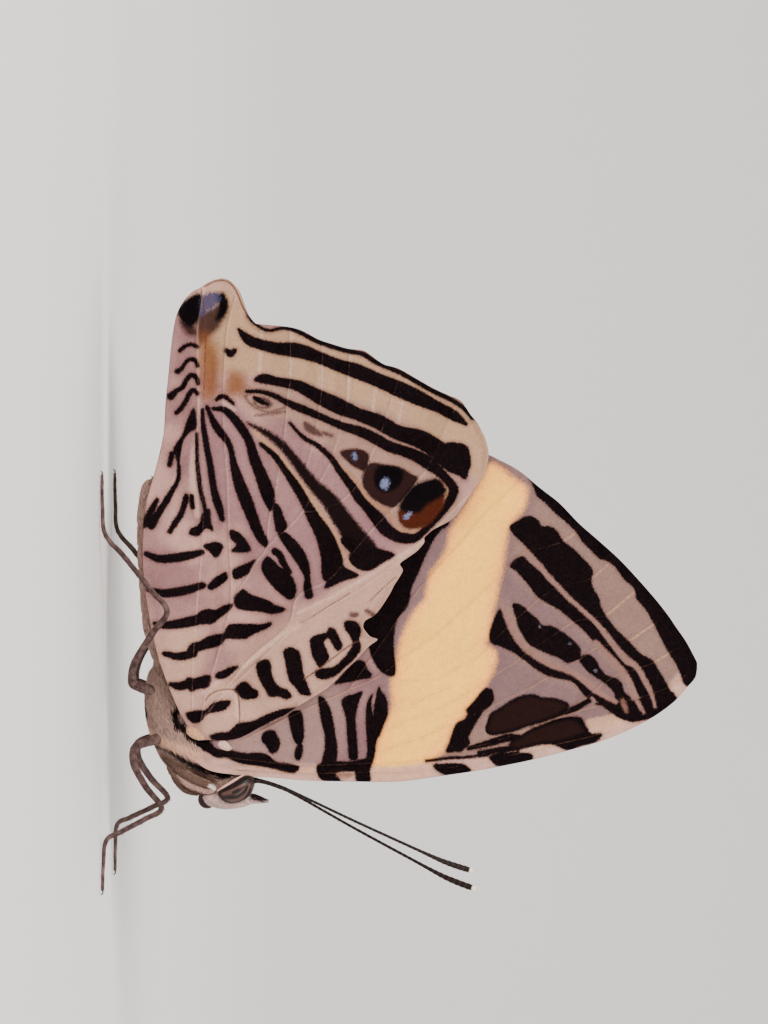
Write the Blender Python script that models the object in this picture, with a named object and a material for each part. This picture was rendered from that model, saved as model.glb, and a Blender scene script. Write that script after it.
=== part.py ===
"""A dirce beauty butterfly (Colobura dirce), life size, at rest with its wings closed over its back.

The model stands on z = 0 with its head towards +X and its back towards +Z. Sizes are in
millimetres up to the last step, where each piece is scaled to metres.
"""

import math

import bmesh
import bpy
import numpy as np
from mathutils import Vector
from mathutils.geometry import delaunay_2d_cdt

MM = 0.001
GAP = 0.3

# Wings: thickness of a membrane, and the veins that stand proud of its outer face
WING_THICKNESS = 0.5
VEIN_HEIGHT = 0.15
VEIN_HALF_WIDTH = 0.3
VEIN_STEP = 2.4
EDGE_STEP = 1.1
INNER_STEP = 3.0
ROOT_STEP = 1.3

# Half of the gap between the two forewings where they lie together
WINGS_APART = 0.15
# How far the hindwing stands off where the forewing lies under it, and the height where that starts
HINDWING_STEP = WING_THICKNESS + VEIN_HEIGHT + GAP
OVERLAP_LOW, OVERLAP_RISE = 8.0, 3.6

# Legs and feelers
LEG_RADIUS = 0.27
ANTENNA_RADIUS = 0.25
CLUB_RADIUS = 0.38

# Body stations: forward, centre height, half width, half height
ABDOMEN = [
    (-7.2, 3.2, 0.30, 0.30), (-6.6, 3.2, 0.75, 0.80), (-5.0, 3.35, 1.15, 1.25),
    (-2.5, 3.6, 1.35, 1.50), (0.5, 3.8, 1.42, 1.55), (3.3, 4.0, 1.30, 1.45), (5.3, 4.2, 0.95, 1.05),
]
THORAX = [
    (5.6, 4.2, 0.95, 1.05), (6.3, 4.45, 1.55, 1.80), (7.6, 4.85, 2.00, 2.40), (9.2, 5.35, 2.25, 2.70),
    (10.8, 5.85, 2.15, 2.60), (12.1, 6.35, 1.80, 2.15), (12.9, 6.75, 1.30, 1.55), (13.3, 6.95, 0.75, 0.90),
]
HEAD_CENTRE = (14.2, 0.0, 8.9)
HEAD_HALF = (1.0, 1.15, 1.5)
EYE_CENTRE = (14.2, 0.95, 9.05)
EYE_HALF = (0.92, 0.9, 1.3)
PROBOSCIS_CENTRE = (15.0, 0.0, 7.05)
PROBOSCIS_RADIUS = 0.72
PROBOSCIS_HALF_WIDTH = 0.17

# Wing outlines, forward and up, in named stretches from the root round and back to it
FOREWING_EDGE = {
    "root and costa": [
        (11.9, 6.9), (12.75, 8.5), (13.2, 11.0), (13.5, 14.5), (13.6, 19.5), (13.1, 24.5), (12.2, 29.4),
        (10.9, 34.1), (9.3, 37.5),
    ],
    "apex": [(7.8, 39.7), (6.2, 40.8), (4.7, 40.6)],
    "outer margin": [(2.9, 39.5), (-0.3, 37.0), (-3.7, 33.2), (-6.7, 29.9), (-8.4, 27.5)],
    "tornus": [(-9.1, 26.0), (-8.9, 24.7)],
    "inner margin, under the hindwing": [
        (-6.0, 21.9), (0.8, 15.9), (5.5, 13.6), (8.9, 12.6), (10.3, 10.6), (11.1, 8.0),
    ],
}
HINDWING_EDGE = {
    "root and costa": [
        (10.9, 6.3), (10.6, 7.6), (9.8, 10.6), (7.9, 14.4), (5.9, 16.7), (3.9, 18.3), (1.5, 18.6),
        (-1.0, 20.6), (-4.4, 23.7),
    ],
    "apex": [(-6.9, 26.0), (-9.3, 26.45), (-11.7, 25.5)],
    "outer margin": [
        (-13.0, 24.1), (-14.7, 20.7), (-15.8, 18.3), (-16.8, 15.3), (-17.6, 12.7), (-17.9, 10.7), (-19.4, 9.6),
    ],
    "tail lobe": [(-20.9, 8.6), (-21.0, 7.4), (-20.1, 5.8), (-18.8, 5.0)],
    "inner margin, beside the abdomen": [
        (-15.0, 4.4), (-10.0, 4.0), (-6.0, 2.9), (-1.3, 2.75), (3.5, 3.5), (7.4, 4.75), (9.8, 5.7),
    ],
}

# Main veins, root to margin, forward and up
FOREWING_VEINS = {
    "subcosta": [(12.1, 8.0), (12.8, 13.3), (12.8, 20.3), (11.8, 27.2), (10.6, 33.5)],
    "radius": [(11.9, 8.0), (12.2, 15.4), (10.7, 26.5), (8.5, 34.2), (7.4, 39.8)],
    "radius, last branch": [(10.7, 26.5), (8.0, 33.3), (4.4, 40.0)],
    "media 1": [(9.2, 26.4), (6.4, 30.9), (2.3, 38.8)],
    "media 2": [(6.1, 26.0), (4.6, 29.7), (0.5, 37.2)],
    "media 3": [(6.2, 19.9), (5.0, 25.8), (1.5, 29.5), (-1.7, 35.2)],
    "cubitus 1": [(11.3, 8.6), (7.7, 16.1), (3.4, 23.1), (0.0, 27.0), (-3.6, 32.6)],
    "cubitus 2": [(7.7, 16.1), (0.6, 21.0), (-3.7, 24.6), (-7.3, 28.8)],
    "anal": [(11.2, 9.4), (9.6, 12.7), (4.6, 14.7), (-2.2, 20.0), (-8.5, 25.8)],
    "cell end": [(10.7, 26.5), (9.2, 26.4), (6.1, 26.0), (5.0, 25.8)],
}
HINDWING_VEINS = {
    "costa": [(9.6, 7.6), (7.9, 10.2), (4.8, 14.0), (0.6, 17.7), (-3.2, 21.9)],
    "radius": [(8.6, 7.9), (4.2, 12.6), (-0.7, 15.9), (-5.2, 19.8), (-11.9, 24.8)],
    "media 1": [(-2.5, 11.1), (-6.2, 15.8), (-11.4, 19.7), (-14.2, 20.8)],
    "media 3": [(-5.1, 13.7), (-10.0, 16.0), (-15.8, 17.2)],
    "cubitus 1": [(1.1, 8.6), (-2.5, 11.1), (-10.7, 12.4), (-17.2, 12.8)],
    "cubitus 2": [(9.2, 6.7), (1.1, 8.6), (-5.8, 8.5), (-16.2, 8.3), (-19.8, 8.6)],
    "anal": [(8.9, 6.0), (1.1, 6.4), (-8.0, 6.4), (-16.9, 6.6), (-20.3, 6.9)],
}

# Legs of one side: hip inside the thorax, then the joints; forward, sideways, up
LEGS = {
    "mid": {
        "femur": [(10.6, 1.1, 3.9), (11.2, 1.7, 2.2), (12.3, 2.6, 2.1), (13.8, 3.5, 2.9), (15.4, 4.3, 4.0)],
        "tibia": [(15.4, 4.3, 4.0), (15.9, 4.9, 3.0), (16.7, 5.7, 1.4), (17.3, 6.1, 0.4)],
        "tarsus": [(17.2, 6.1), (18.7, 6.6), (20.6, 6.9)],
    },
    "hind": {
        "femur": [(7.4, 1.0, 3.4), (6.7, 1.7, 1.9), (5.3, 2.9, 2.2), (3.2, 4.2, 3.5), (1.7, 5.0, 4.5)],
        "tibia": [(1.7, 5.0, 4.5), (0.2, 5.6, 3.4), (-2.0, 6.3, 1.7), (-3.6, 6.8, 0.4)],
        "tarsus": [(-3.4, 6.8), (-5.4, 7.1), (-7.6, 7.0)],
    },
}
FORELEG = [(12.3, 0.9, 5.0), (13.0, 1.2, 4.55), (13.9, 1.25, 5.4), (14.25, 1.2, 6.3), (14.3, 1.15, 6.85)]
PALP = [
    (14.35, 0.85, 7.4), (14.95, 0.75, 7.5), (15.2, 0.5, 8.3), (15.22, 0.42, 9.2), (15.12, 0.42, 10.1),
    (15.0, 0.4, 11.0),
]
PALP_RADII = [0.26, 0.36, 0.34, 0.30, 0.26, 0.12]
ANTENNA = [
    (13.55, 0.5, 10.35), (13.9, 0.9, 12.0), (14.9, 1.9, 14.1), (16.5, 3.2, 17.0), (18.5, 4.5, 20.3),
    (20.1, 5.2, 23.0), (21.0, 5.5, 25.25),
]

SIDES = {"left": 1, "right": -1}


def smooth_through(points, step):
    """Points about step apart on one smooth curve through the given ones (Catmull-Rom)."""
    points = np.asarray(points, float)
    ends = np.vstack([2 * points[0] - points[1], points, 2 * points[-1] - points[-2]])
    found = []
    for a, b, c, d in zip(ends, ends[1:], ends[2:], ends[3:]):
        count = max(1, round(np.linalg.norm(c - b) / step))
        t = (np.arange(count) / count)[:, None]
        square = (2 * a - 5 * b + 4 * c - d) * t**2
        cube = (3 * b - a - 3 * c + d) * t**3
        found.append(0.5 * (2 * b + (c - a) * t + square + cube))
    return np.vstack(found + [points[-1:]])


def between(x, stations, column):
    """A value of the body stations at x, eased from one station to the next without overshoot."""
    table = np.array(stations)
    xs, ys = table[:, 0], table[:, column]
    widths = np.diff(xs)
    slopes = np.diff(ys) / widths
    product = slopes[:-1] * slopes[1:]
    middle = np.where(product > 0, 2 * product / (slopes[:-1] + slopes[1:] + 1e-12), 0.0)
    ends = np.concatenate([[slopes[0]], middle, [slopes[-1]]])
    x = np.clip(x, xs[0], xs[-1])
    i = np.clip(np.searchsorted(xs, x) - 1, 0, len(xs) - 2)
    w = widths[i]
    t = (x - xs[i]) / w
    return (
        ys[i] * (1 + 2 * t) * (1 - t) ** 2 + w * ends[i] * t * (1 - t) ** 2
        + ys[i + 1] * t * t * (3 - 2 * t) + w * ends[i + 1] * t * t * (t - 1)
    )


def ease(t):
    """0 to 1 with level ends."""
    t = np.clip(t, 0, 1)
    return t * t * (3 - 2 * t)


def trunk():
    """Body stations that the closed wings wrap, with the width run out to nothing at both ends."""
    first, last = ABDOMEN[0], THORAX[-1]
    ahead = (last[0] + 1.2, last[1], 0.0, last[3] + 0.7)
    behind = (first[0] - 3.0, first[1], 0.0, 1.2)
    return [behind] + ABDOMEN[1:-1] + THORAX[1:-1] + [ahead]


def wing_base(x, z):
    """How far from the mid plane the innermost wing face stands: round the body, then together."""
    stations = trunk()
    width = between(x, stations, 2)
    height = (z - between(x, stations, 1)) / between(x, stations, 3)
    return WINGS_APART + (width + 0.2) * (1 - ease(height / 2.2)) * ease(width)


def slant(x, z):
    """How much longer a step sideways is than the same step square to the wing face."""
    small = 0.05
    across = (wing_base(x + small, z) - wing_base(x - small, z)) / (2 * small)
    up = (wing_base(x, z + small) - wing_base(x, z - small)) / (2 * small)
    return np.sqrt(1 + across**2 + up**2)


def over_forewing(x, z):
    """1 where the forewing lies under the hindwing, 0 past the forewing's hidden edge."""
    edge = FOREWING_EDGE["inner margin, under the hindwing"]
    start, end = np.array(edge[-1]), np.array(edge[0])
    along = (end - start) / np.linalg.norm(end - start)
    past = -(x - start[0]) * along[1] + (z - start[1]) * along[0]
    return ease((4.3 - past) / 3.6) * ease((z - OVERLAP_LOW) / OVERLAP_RISE)


def to_mesh(name, points, faces):
    """A new object from points and faces, with its faces turned outwards."""
    mesh = bpy.data.meshes.new(name)
    mesh.from_pydata([tuple(p) for p in points], [], [tuple(int(i) for i in f) for f in faces])
    work = bmesh.new()
    work.from_mesh(mesh)
    bmesh.ops.recalc_face_normals(work, faces=work.faces)
    work.to_mesh(mesh)
    work.free()
    piece = bpy.data.objects.new(name, mesh)
    bpy.context.collection.objects.link(piece)
    return piece


def skin(name, rings, start, end):
    """Rings of equal count joined in turn, and closed with a pole at each end."""
    count = len(rings[0])
    points = np.vstack([start] + list(rings) + [end])
    last = len(points) - 1
    faces = [(0, 1 + (i + 1) % count, 1 + i) for i in range(count)]
    for r in range(len(rings) - 1):
        a, b = 1 + r * count, 1 + (r + 1) * count
        faces += [(a + i, a + (i + 1) % count, b + (i + 1) % count, b + i) for i in range(count)]
    a = 1 + (len(rings) - 1) * count
    faces += [(last, a + i, a + (i + 1) % count) for i in range(count)]
    return to_mesh(name, points, faces)


def body(name, stations, sides, step, grow=0.0):
    """A part of the trunk: oval rings square to X through its stations."""
    first, last = stations[0][0], stations[-1][0]
    xs = np.linspace(first, last, round((last - first) / step) + 1)
    angles = np.arange(sides) * 2 * math.pi / sides
    rings = []
    for x in xs:
        centre, width, height = (float(between(x, stations, c)) for c in (1, 2, 3))
        ring_x = x + grow * (2 * (x - first) / (last - first) - 1)
        rings.append(np.column_stack([
            np.full(sides, ring_x), (width + grow) * np.cos(angles), centre + (height + grow) * np.sin(angles),
        ]))
    dome = 0.15
    start = [first - grow - dome, 0.0, stations[0][1]]
    end = [last + grow + dome, 0.0, stations[-1][1]]
    return skin(name, rings, start, end)


def tube(name, path, radii, sides=8, step=0.8, grow=0.0):
    """A round limb along a smooth path, its radius eased between the given ones, with domed ends."""
    points = smooth_through(path, step)
    runs = np.concatenate([[0], np.cumsum(np.linalg.norm(np.diff(points, axis=0), axis=1))])
    marks = np.linspace(0, runs[-1], len(radii))
    radius = np.interp(runs, marks, radii) + grow
    tangents = np.gradient(points, axis=0)
    tangents /= np.linalg.norm(tangents, axis=1)[:, None]
    side = np.cross(tangents[0], [0.3, 1.0, 0.2])
    angles = np.arange(sides) * 2 * math.pi / sides
    rings = []
    for point, tangent, r in zip(points, tangents, radius):
        side = side - tangent * side.dot(tangent)
        side /= np.linalg.norm(side)
        other = np.cross(tangent, side)
        rings.append(point + r * (np.outer(np.cos(angles), side) + np.outer(np.sin(angles), other)))
    start = points[0] - tangents[0] * (0.5 * radii[0] + grow)
    end = points[-1] + tangents[-1] * (0.5 * radii[-1] + grow)
    return skin(name, rings, start, end)


def foot(name, path, radius, sides=8, grow=0.0):
    """A tarsus that lies on the floor, with the lowest of its faces flat on z = 0."""
    flat = [(x, y, 0.0) for x, y in path]
    points = smooth_through(flat, 0.9)
    tangents = np.gradient(points, axis=0)
    tangents /= np.linalg.norm(tangents, axis=1)[:, None]
    angles = (np.arange(sides) + 0.5) * 2 * math.pi / sides
    rings = []
    up = np.array([0.0, 0.0, 1.0])
    for point, tangent, thin in zip(points, tangents, np.linspace(radius, 0.75 * radius, len(points))):
        side = np.array([-tangent[1], tangent[0], 0.0])
        middle = point + up * thin * math.cos(math.pi / sides)
        rings.append(middle + (thin + grow) * (np.outer(np.cos(angles), side) + np.outer(np.sin(angles), up)))
    start, end = (rings[i].mean(axis=0) for i in (0, -1))
    return skin(name, rings, start - tangents[0] * (grow + 0.08), end + tangents[-1] * (grow + 0.08))


def ellipsoid(name, centre, half, rings=8, sides=14, grow=0.0):
    """A round form about the sideways axis."""
    half = np.array(half) + grow
    centre = np.array(centre)
    turns = np.linspace(0, math.pi, rings + 2)[1:-1]
    angles = np.arange(sides) * 2 * math.pi / sides
    loops = []
    for turn in turns:
        loops.append(centre + half * np.column_stack([
            math.sin(turn) * np.cos(angles), np.full(sides, -math.cos(turn)), math.sin(turn) * np.sin(angles),
        ]))
    pole = np.array([0.0, half[1], 0.0])
    return skin(name, loops, centre - pole, centre + pole)


def block(name, low, high):
    """A plain box, used as a cutter."""
    corners = [(x, y, z) for x in (low[0], high[0]) for y in (low[1], high[1]) for z in (low[2], high[2])]
    faces = [(0, 1, 3, 2), (4, 6, 7, 5), (0, 4, 5, 1), (2, 3, 7, 6), (0, 2, 6, 4), (1, 5, 7, 3)]
    return to_mesh(name, corners, faces)


def combine(piece, tools, operation):
    """One Boolean of a piece with each tool in turn; the largest closed surface is kept."""
    for tool in tools:
        step = piece.modifiers.new("shape", "BOOLEAN")
        step.operation = operation
        step.solver = "EXACT"
        step.object = tool
    evaluated = piece.evaluated_get(bpy.context.evaluated_depsgraph_get())
    mesh = bpy.data.meshes.new_from_object(evaluated)
    piece.modifiers.clear()
    piece.data = mesh
    for tool in tools:
        bpy.data.objects.remove(tool)
    keep_largest(mesh)
    return piece


def keep_largest(mesh):
    """Drops every loose scrap but the surface with the most faces."""
    work = bmesh.new()
    work.from_mesh(mesh)
    left, groups = set(work.faces), []
    while left:
        group, queue = set(), [left.pop()]
        while queue:
            face = queue.pop()
            group.add(face)
            near = {other for edge in face.edges for other in edge.link_faces} & left
            left -= near
            queue += near
        groups.append(group)
    keep = max(groups, key=lambda group: sum(face.calc_area() for face in group))
    drop = [face for group in groups if group is not keep for face in group]
    bmesh.ops.delete(work, geom=drop, context="FACES")
    bmesh.ops.triangulate(work, faces=work.faces)
    work.to_mesh(mesh)
    work.free()


def material(name, colour, roughness):
    """A plain Principled material in the colour of the piece."""
    made = bpy.data.materials.new(name)
    made.use_nodes = True
    shader = made.node_tree.nodes["Principled BSDF"]
    shader.inputs["Base Color"].default_value = (*colour, 1.0)
    shader.inputs["Roughness"].default_value = roughness
    shader.inputs["Metallic"].default_value = 0.0
    made.diffuse_color = (*colour, 1.0)
    return made


def finish(piece, colour, roughness=0.7):
    """Gives a piece its material and brings it from millimetres to metres."""
    piece.data.materials.clear()
    piece.data.materials.append(material(piece.name + "_finish", colour, roughness))
    piece.data.transform(((MM, 0, 0, 0), (0, MM, 0, 0), (0, 0, MM, 0), (0, 0, 0, 1)))


def near_vein(points, veins):
    """Distance from each point to the nearest vein's centre line."""
    best = np.full(len(points), np.inf)
    for line in veins:
        for a, b in zip(line, line[1:]):
            run = b - a
            t = np.clip(((points - a) @ run) / (run @ run), 0, 1)
            best = np.minimum(best, np.linalg.norm(points - a - t[:, None] * run, axis=1))
    return best


def inside(points, edge):
    """True for each point within the closed outline."""
    x, z = points[:, 0], points[:, 1]
    odd = np.zeros(len(points), bool)
    for (ax, az), (bx, bz) in zip(edge, np.roll(edge, -1, axis=0)):
        crosses = (az > z) != (bz > z)
        odd ^= crosses & (x < ax + (z - az) * (bx - ax) / (bz - az + 1e-12))
    return odd


def from_edge(points, edge):
    """Distance from each point to the outline."""
    return near_vein(points, [np.vstack([edge, edge[:1]])])


def wing_plan(stretches, veins):
    """The wing laid flat: outline, vein crests and vein feet in one set of triangles."""
    corners = [point for stretch in stretches.values() for point in stretch]
    edge = smooth_through(corners + corners[:1], EDGE_STEP)[:-1]
    crests = [smooth_through(vein, VEIN_STEP) for vein in veins.values()]
    points = [tuple(p) for p in edge]
    links = [(i, (i + 1) % len(edge)) for i in range(len(edge))]
    for crest in crests:
        along = np.gradient(crest, axis=0)
        square = np.column_stack([-along[:, 1], along[:, 0]]) / np.linalg.norm(along, axis=1)[:, None]
        for offset in (0.0, VEIN_HALF_WIDTH, -VEIN_HALF_WIDTH):
            line = crest + offset * square
            good = inside(line, edge) & (from_edge(line, edge) > 0.25)
            for here, there, a, b in zip(line, line[1:], good, good[1:]):
                if a and b:
                    links.append((len(points), len(points) + 1))
                    points += [tuple(here), tuple(there)]
    low, high = edge.min(axis=0), edge.max(axis=0)
    for step, reach in ((INNER_STEP, 99.0), (ROOT_STEP, 9.5)):
        across, up = np.meshgrid(np.arange(low[0], high[0], step), np.arange(low[1], high[1], step))
        grid = np.column_stack([across.ravel(), up.ravel()])
        clear = inside(grid, edge) & (from_edge(grid, edge) > 0.5) & (near_vein(grid, crests) > 0.7)
        points += [tuple(p) for p in grid[clear & (grid[:, 1] < reach)]]
    found, _, triangles, *_ = delaunay_2d_cdt([Vector(p) for p in points], links, [], 1, 0.02)
    plan = np.array([tuple(p) for p in found])
    return plan, np.array([tuple(t) for t in triangles]), crests


def wing(name, side, stretches, veins, hind):
    """A wing: the same triangles on both faces, bent round the body, veins raised on the outer one."""
    plan, triangles, crests = wing_plan(stretches, veins)
    x, z = plan[:, 0], plan[:, 1]
    lean = slant(x, z)
    inner = wing_base(x, z) + (HINDWING_STEP * over_forewing(x, z) * lean if hind else 0.0)
    ridge = VEIN_HEIGHT * np.clip(1 - near_vein(plan, crests) / VEIN_HALF_WIDTH, 0, 1)
    outer = inner + (WING_THICKNESS + ridge) * lean
    points = np.vstack([np.column_stack([x, side * y, z]) for y in (inner, outer)])
    count = len(plan)
    sides = np.vstack([triangles[:, pair] for pair in ([0, 1], [1, 2], [2, 0])])
    edges, uses = np.unique(np.sort(sides, axis=1), axis=0, return_counts=True)
    rim = edges[uses == 1]
    walls = np.column_stack([rim[:, 0], rim[:, 1], rim[:, 1] + count, rim[:, 0] + count])
    faces = [tuple(t) for t in triangles] + [tuple(t + count) for t in triangles] + [tuple(w) for w in walls]
    return to_mesh(name, points, faces)


def mirrored(points, side):
    """The same path on the other side of the body."""
    return [(p[0], p[1] * side, *p[2:]) for p in points]


def build_trunk():
    """Abdomen and thorax."""
    finish(body("abdomen", ABDOMEN, 16, 0.9), (0.34, 0.27, 0.21))
    finish(body("thorax", THORAX, 18, 0.6), (0.42, 0.33, 0.26))


def build_head():
    """Head capsule with a short neck, hollowed where the eyes, palps and proboscis nest in it."""
    head = ellipsoid("head", HEAD_CENTRE, HEAD_HALF)
    neck = tube("neck", [(14.1, 0, 8.4), (13.4, 0, 7.7), (12.8, 0, 7.1)], [0.7, 0.75, 0.75], sides=12)
    combine(head, [neck], "UNION")
    cutters = [body("thorax_room", THORAX, 18, 0.6, grow=GAP)]
    cutters.append(coil_form("proboscis_room", GAP))
    for name, side in SIDES.items():
        cutters.append(eye_form(f"eye_room_{name}", side, GAP))
        cutters.append(tube(f"palp_room_{name}", mirrored(PALP, side), PALP_RADII, grow=GAP))
    combine(head, cutters, "DIFFERENCE")
    finish(head, (0.30, 0.22, 0.16))
    finish(coil_form("proboscis", 0.0), (0.10, 0.06, 0.04), 0.5)


def coil_form(name, grow):
    """The proboscis, coiled flat: a rounded disc in the mid plane."""
    half = (PROBOSCIS_RADIUS, PROBOSCIS_HALF_WIDTH, PROBOSCIS_RADIUS * 0.8)
    return ellipsoid(name, PROBOSCIS_CENTRE, half, rings=5, sides=12, grow=grow)


def eye_form(name, side, grow):
    """The outer part of a round eye, flat on the side that faces the head."""
    centre = (EYE_CENTRE[0], EYE_CENTRE[1] * side, EYE_CENTRE[2])
    eye = ellipsoid(name, centre, EYE_HALF, rings=9, sides=16, grow=grow)
    inner = (EYE_CENTRE[1] - 0.1 - grow) * side
    cut = block("cut", (10, min(inner, -4 * side), 5), (18, max(inner, -4 * side), 13))
    return combine(eye, [cut], "DIFFERENCE")


def build_face():
    """Eyes, palps and antennae, one of each on both sides."""
    for name, side in SIDES.items():
        eye = eye_form(f"eye_{name}", side, 0.0)
        combine(eye, [tube("room", mirrored(PALP, side), PALP_RADII, grow=GAP)], "DIFFERENCE")
        finish(eye, (0.24, 0.13, 0.08), 0.3)
        finish(tube(f"palp_{name}", mirrored(PALP, side), PALP_RADII, step=0.5), (0.62, 0.50, 0.44))
        radii = [ANTENNA_RADIUS] * 8 + [CLUB_RADIUS, CLUB_RADIUS, 0.2]
        feeler = tube(f"antenna_{name}", mirrored(ANTENNA, side), radii, sides=6, step=1.3)
        finish(feeler, (0.12, 0.08, 0.06), 0.5)


def build_legs():
    """Two pairs of walking legs in three pieces each, and the small forelegs folded to the chest."""
    colour = (0.26, 0.20, 0.18)
    for name, side in SIDES.items():
        for pair, leg in LEGS.items():
            femur_path, tibia_path = (mirrored(leg[key], side) for key in ("femur", "tibia"))
            tarsus_path = mirrored(leg["tarsus"], side)
            radii = [LEG_RADIUS, LEG_RADIUS + 0.06, LEG_RADIUS]
            femur = tube(f"{pair}_femur_{name}", femur_path, radii)
            combine(femur, [body("room", THORAX, 18, 0.6, grow=GAP)], "DIFFERENCE")
            tibia = tube(f"{pair}_tibia_{name}", tibia_path, [LEG_RADIUS - 0.02])
            rooms = [tube("room", femur_path, radii, grow=GAP), foot("room", tarsus_path, LEG_RADIUS, grow=GAP)]
            combine(tibia, rooms, "DIFFERENCE")
            finish(femur, colour)
            finish(tibia, colour)
            finish(foot(f"{pair}_tarsus_{name}", tarsus_path, LEG_RADIUS), colour)
        foreleg = tube(f"foreleg_{name}", mirrored(FORELEG, side), [LEG_RADIUS + 0.05, LEG_RADIUS, 0.2])
        combine(foreleg, [body("room", THORAX, 18, 0.6, grow=GAP)], "DIFFERENCE")
        finish(foreleg, (0.55, 0.43, 0.36))


def build_wings():
    """Forewings together over the back, hindwings outside them."""
    for name, side in SIDES.items():
        finish(wing(f"forewing_{name}", side, FOREWING_EDGE, FOREWING_VEINS, False), (0.70, 0.52, 0.36))
        finish(wing(f"hindwing_{name}", side, HINDWING_EDGE, HINDWING_VEINS, True), (0.50, 0.36, 0.34))


for old in list(bpy.data.objects):
    bpy.data.objects.remove(old)
build_trunk()
build_head()
build_face()
build_legs()
build_wings()
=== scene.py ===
# %% [markdown]
# # A zebra-striped butterfly at rest
# This lesson dresses a plain solid model of a dirce beauty (Colobura dirce) in its real surface. The
# solids give every size and place. Here each wing becomes a fine sheet with raised veins and painted
# scales, and the body gets a skin, a coat, striped eyes and ringed feelers. We start by loading the
# solids as a fixed frame.

# %% The frame
from functools import partial
import math

import bpy
import mathutils
import numpy as np
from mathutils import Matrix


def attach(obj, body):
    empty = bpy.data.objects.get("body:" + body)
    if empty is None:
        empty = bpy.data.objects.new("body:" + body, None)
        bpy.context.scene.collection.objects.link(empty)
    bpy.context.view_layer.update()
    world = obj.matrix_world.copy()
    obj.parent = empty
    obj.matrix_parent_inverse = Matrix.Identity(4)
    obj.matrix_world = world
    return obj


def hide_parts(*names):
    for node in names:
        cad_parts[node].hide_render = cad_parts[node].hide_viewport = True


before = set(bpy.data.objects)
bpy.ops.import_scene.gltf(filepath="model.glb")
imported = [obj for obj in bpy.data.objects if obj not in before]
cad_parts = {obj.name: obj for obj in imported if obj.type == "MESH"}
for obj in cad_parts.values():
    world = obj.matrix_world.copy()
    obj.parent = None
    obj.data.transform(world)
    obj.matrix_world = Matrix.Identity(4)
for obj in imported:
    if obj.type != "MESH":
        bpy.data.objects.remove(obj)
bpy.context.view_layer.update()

MM = 0.001
print("solids:", sorted(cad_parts))

# %% [markdown]
# The marks of the wings were read off a picture in pixels, where one millimetre of the animal is 14.4
# pixels. The butterfly sits head down there, so the picture's right is the animal's back (+Z) and its
# foot is the animal's front (+X). One small function turns any list of picture points into
# millimetres on the plane of the closed wings, forward and up.

# %% From picture points to the wing plane
PX_PER_MM = 14.4
PX_FLOOR, PX_MIDDLE = 108.0, 583.5


def on_wing(points):
    """Picture points (across, down) as (forward, up) in millimetres; a third column is a width."""
    p = np.atleast_2d(np.asarray(points, float))
    plane = np.column_stack([(p[:, 1] - PX_MIDDLE) / PX_PER_MM, (p[:, 0] - PX_FLOOR) / PX_PER_MM])
    return plane if p.shape[1] == 2 else np.column_stack([plane, p[:, 2] / PX_PER_MM])


def curve_through(points, steps=4, closed=False):
    """Catmull-Rom: cubics whose slope at a point is half the step between the point's neighbours."""
    p = np.asarray(points, float)
    if closed:
        ends = np.vstack([p[-1:], p, p[:2]])
    else:
        ends = np.vstack([2 * p[0] - p[1], p, 2 * p[-1] - p[-2]])
    a, b, c, d = (ends[i:len(ends) - 3 + i, None, :] for i in range(4))
    t = (np.arange(steps) / steps)[None, :, None]
    line = 0.5 * (2 * b + (c - a) * t + (2 * a - 5 * b + 4 * c - d) * t**2 + (3 * b - a - 3 * c + d) * t**3)
    line = line.reshape(-1, p.shape[1])
    return line if closed else np.vstack([line, p[-1:]])


# %% [markdown]
# The camera looks at the animal's right side, turned one degree towards its tail. Most of the gap
# between the two feelers comes from perspective, because one is nearer to the camera. The camera is
# rolled a quarter turn, so that the head points down in the frame. The field of view follows from the
# scale: 1024 pixels are 71 mm.

# %% The camera
VIEW_DISTANCE = 0.30
VIEW_TURN = math.radians(1.0)
SENSOR = 24.0
# FIT and the place of the aim were found by laying a render over the outlines of the wings
FIT, FRAME_PIXELS = 0.994, 1024
FRAME_HEIGHT = FIT * FRAME_PIXELS / PX_PER_MM * MM
AIM_ACROSS, AIM_DOWN, AIM_SIDE = 385.8, 511.6, -0.0012
AIM = ((AIM_DOWN - PX_MIDDLE) / PX_PER_MM * MM, AIM_SIDE, (AIM_ACROSS - PX_FLOOR) / PX_PER_MM * MM)


def add_object(name, data):
    """A new object in the scene, for a mesh, a lamp or a camera."""
    thing = bpy.data.objects.new(name, data)
    bpy.context.scene.collection.objects.link(thing)
    return thing


def make_camera():
    """A camera whose right is +Z and whose up is -X, turned VIEW_TURN about the vertical."""
    sine, cosine = math.sin(VIEW_TURN), math.cos(VIEW_TURN)
    lens = bpy.data.cameras.new("camera")
    lens.sensor_fit = "VERTICAL"
    lens.sensor_height = SENSOR
    lens.lens = SENSOR * VIEW_DISTANCE / FRAME_HEIGHT
    lens.clip_start, lens.clip_end = 0.01, 20.0
    camera = add_object("camera", lens)
    right, up, back = (0.0, 0.0, 1.0), (-cosine, sine, 0.0), (-sine, -cosine, 0.0)
    place = [AIM[i] + VIEW_DISTANCE * back[i] for i in range(3)]
    rows = [[right[i], up[i], back[i], place[i]] for i in range(3)] + [[0, 0, 0, 1]]
    camera.matrix_world = mathutils.Matrix(rows)
    bpy.context.scene.camera = camera
    return camera


print("camera at", [round(v, 3) for v in make_camera().location])

# %% [markdown]
# The closed wings bend round the body at their roots and lie together above it. The sizes of the body
# are the named stations below: forward, centre height, half width and half height, in millimetres.
# A monotone cubic joins them, so nothing bulges between stations. The innermost wing face stands the
# body's half width plus a clearance off the mid plane, and eases to almost nothing above the back.

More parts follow.
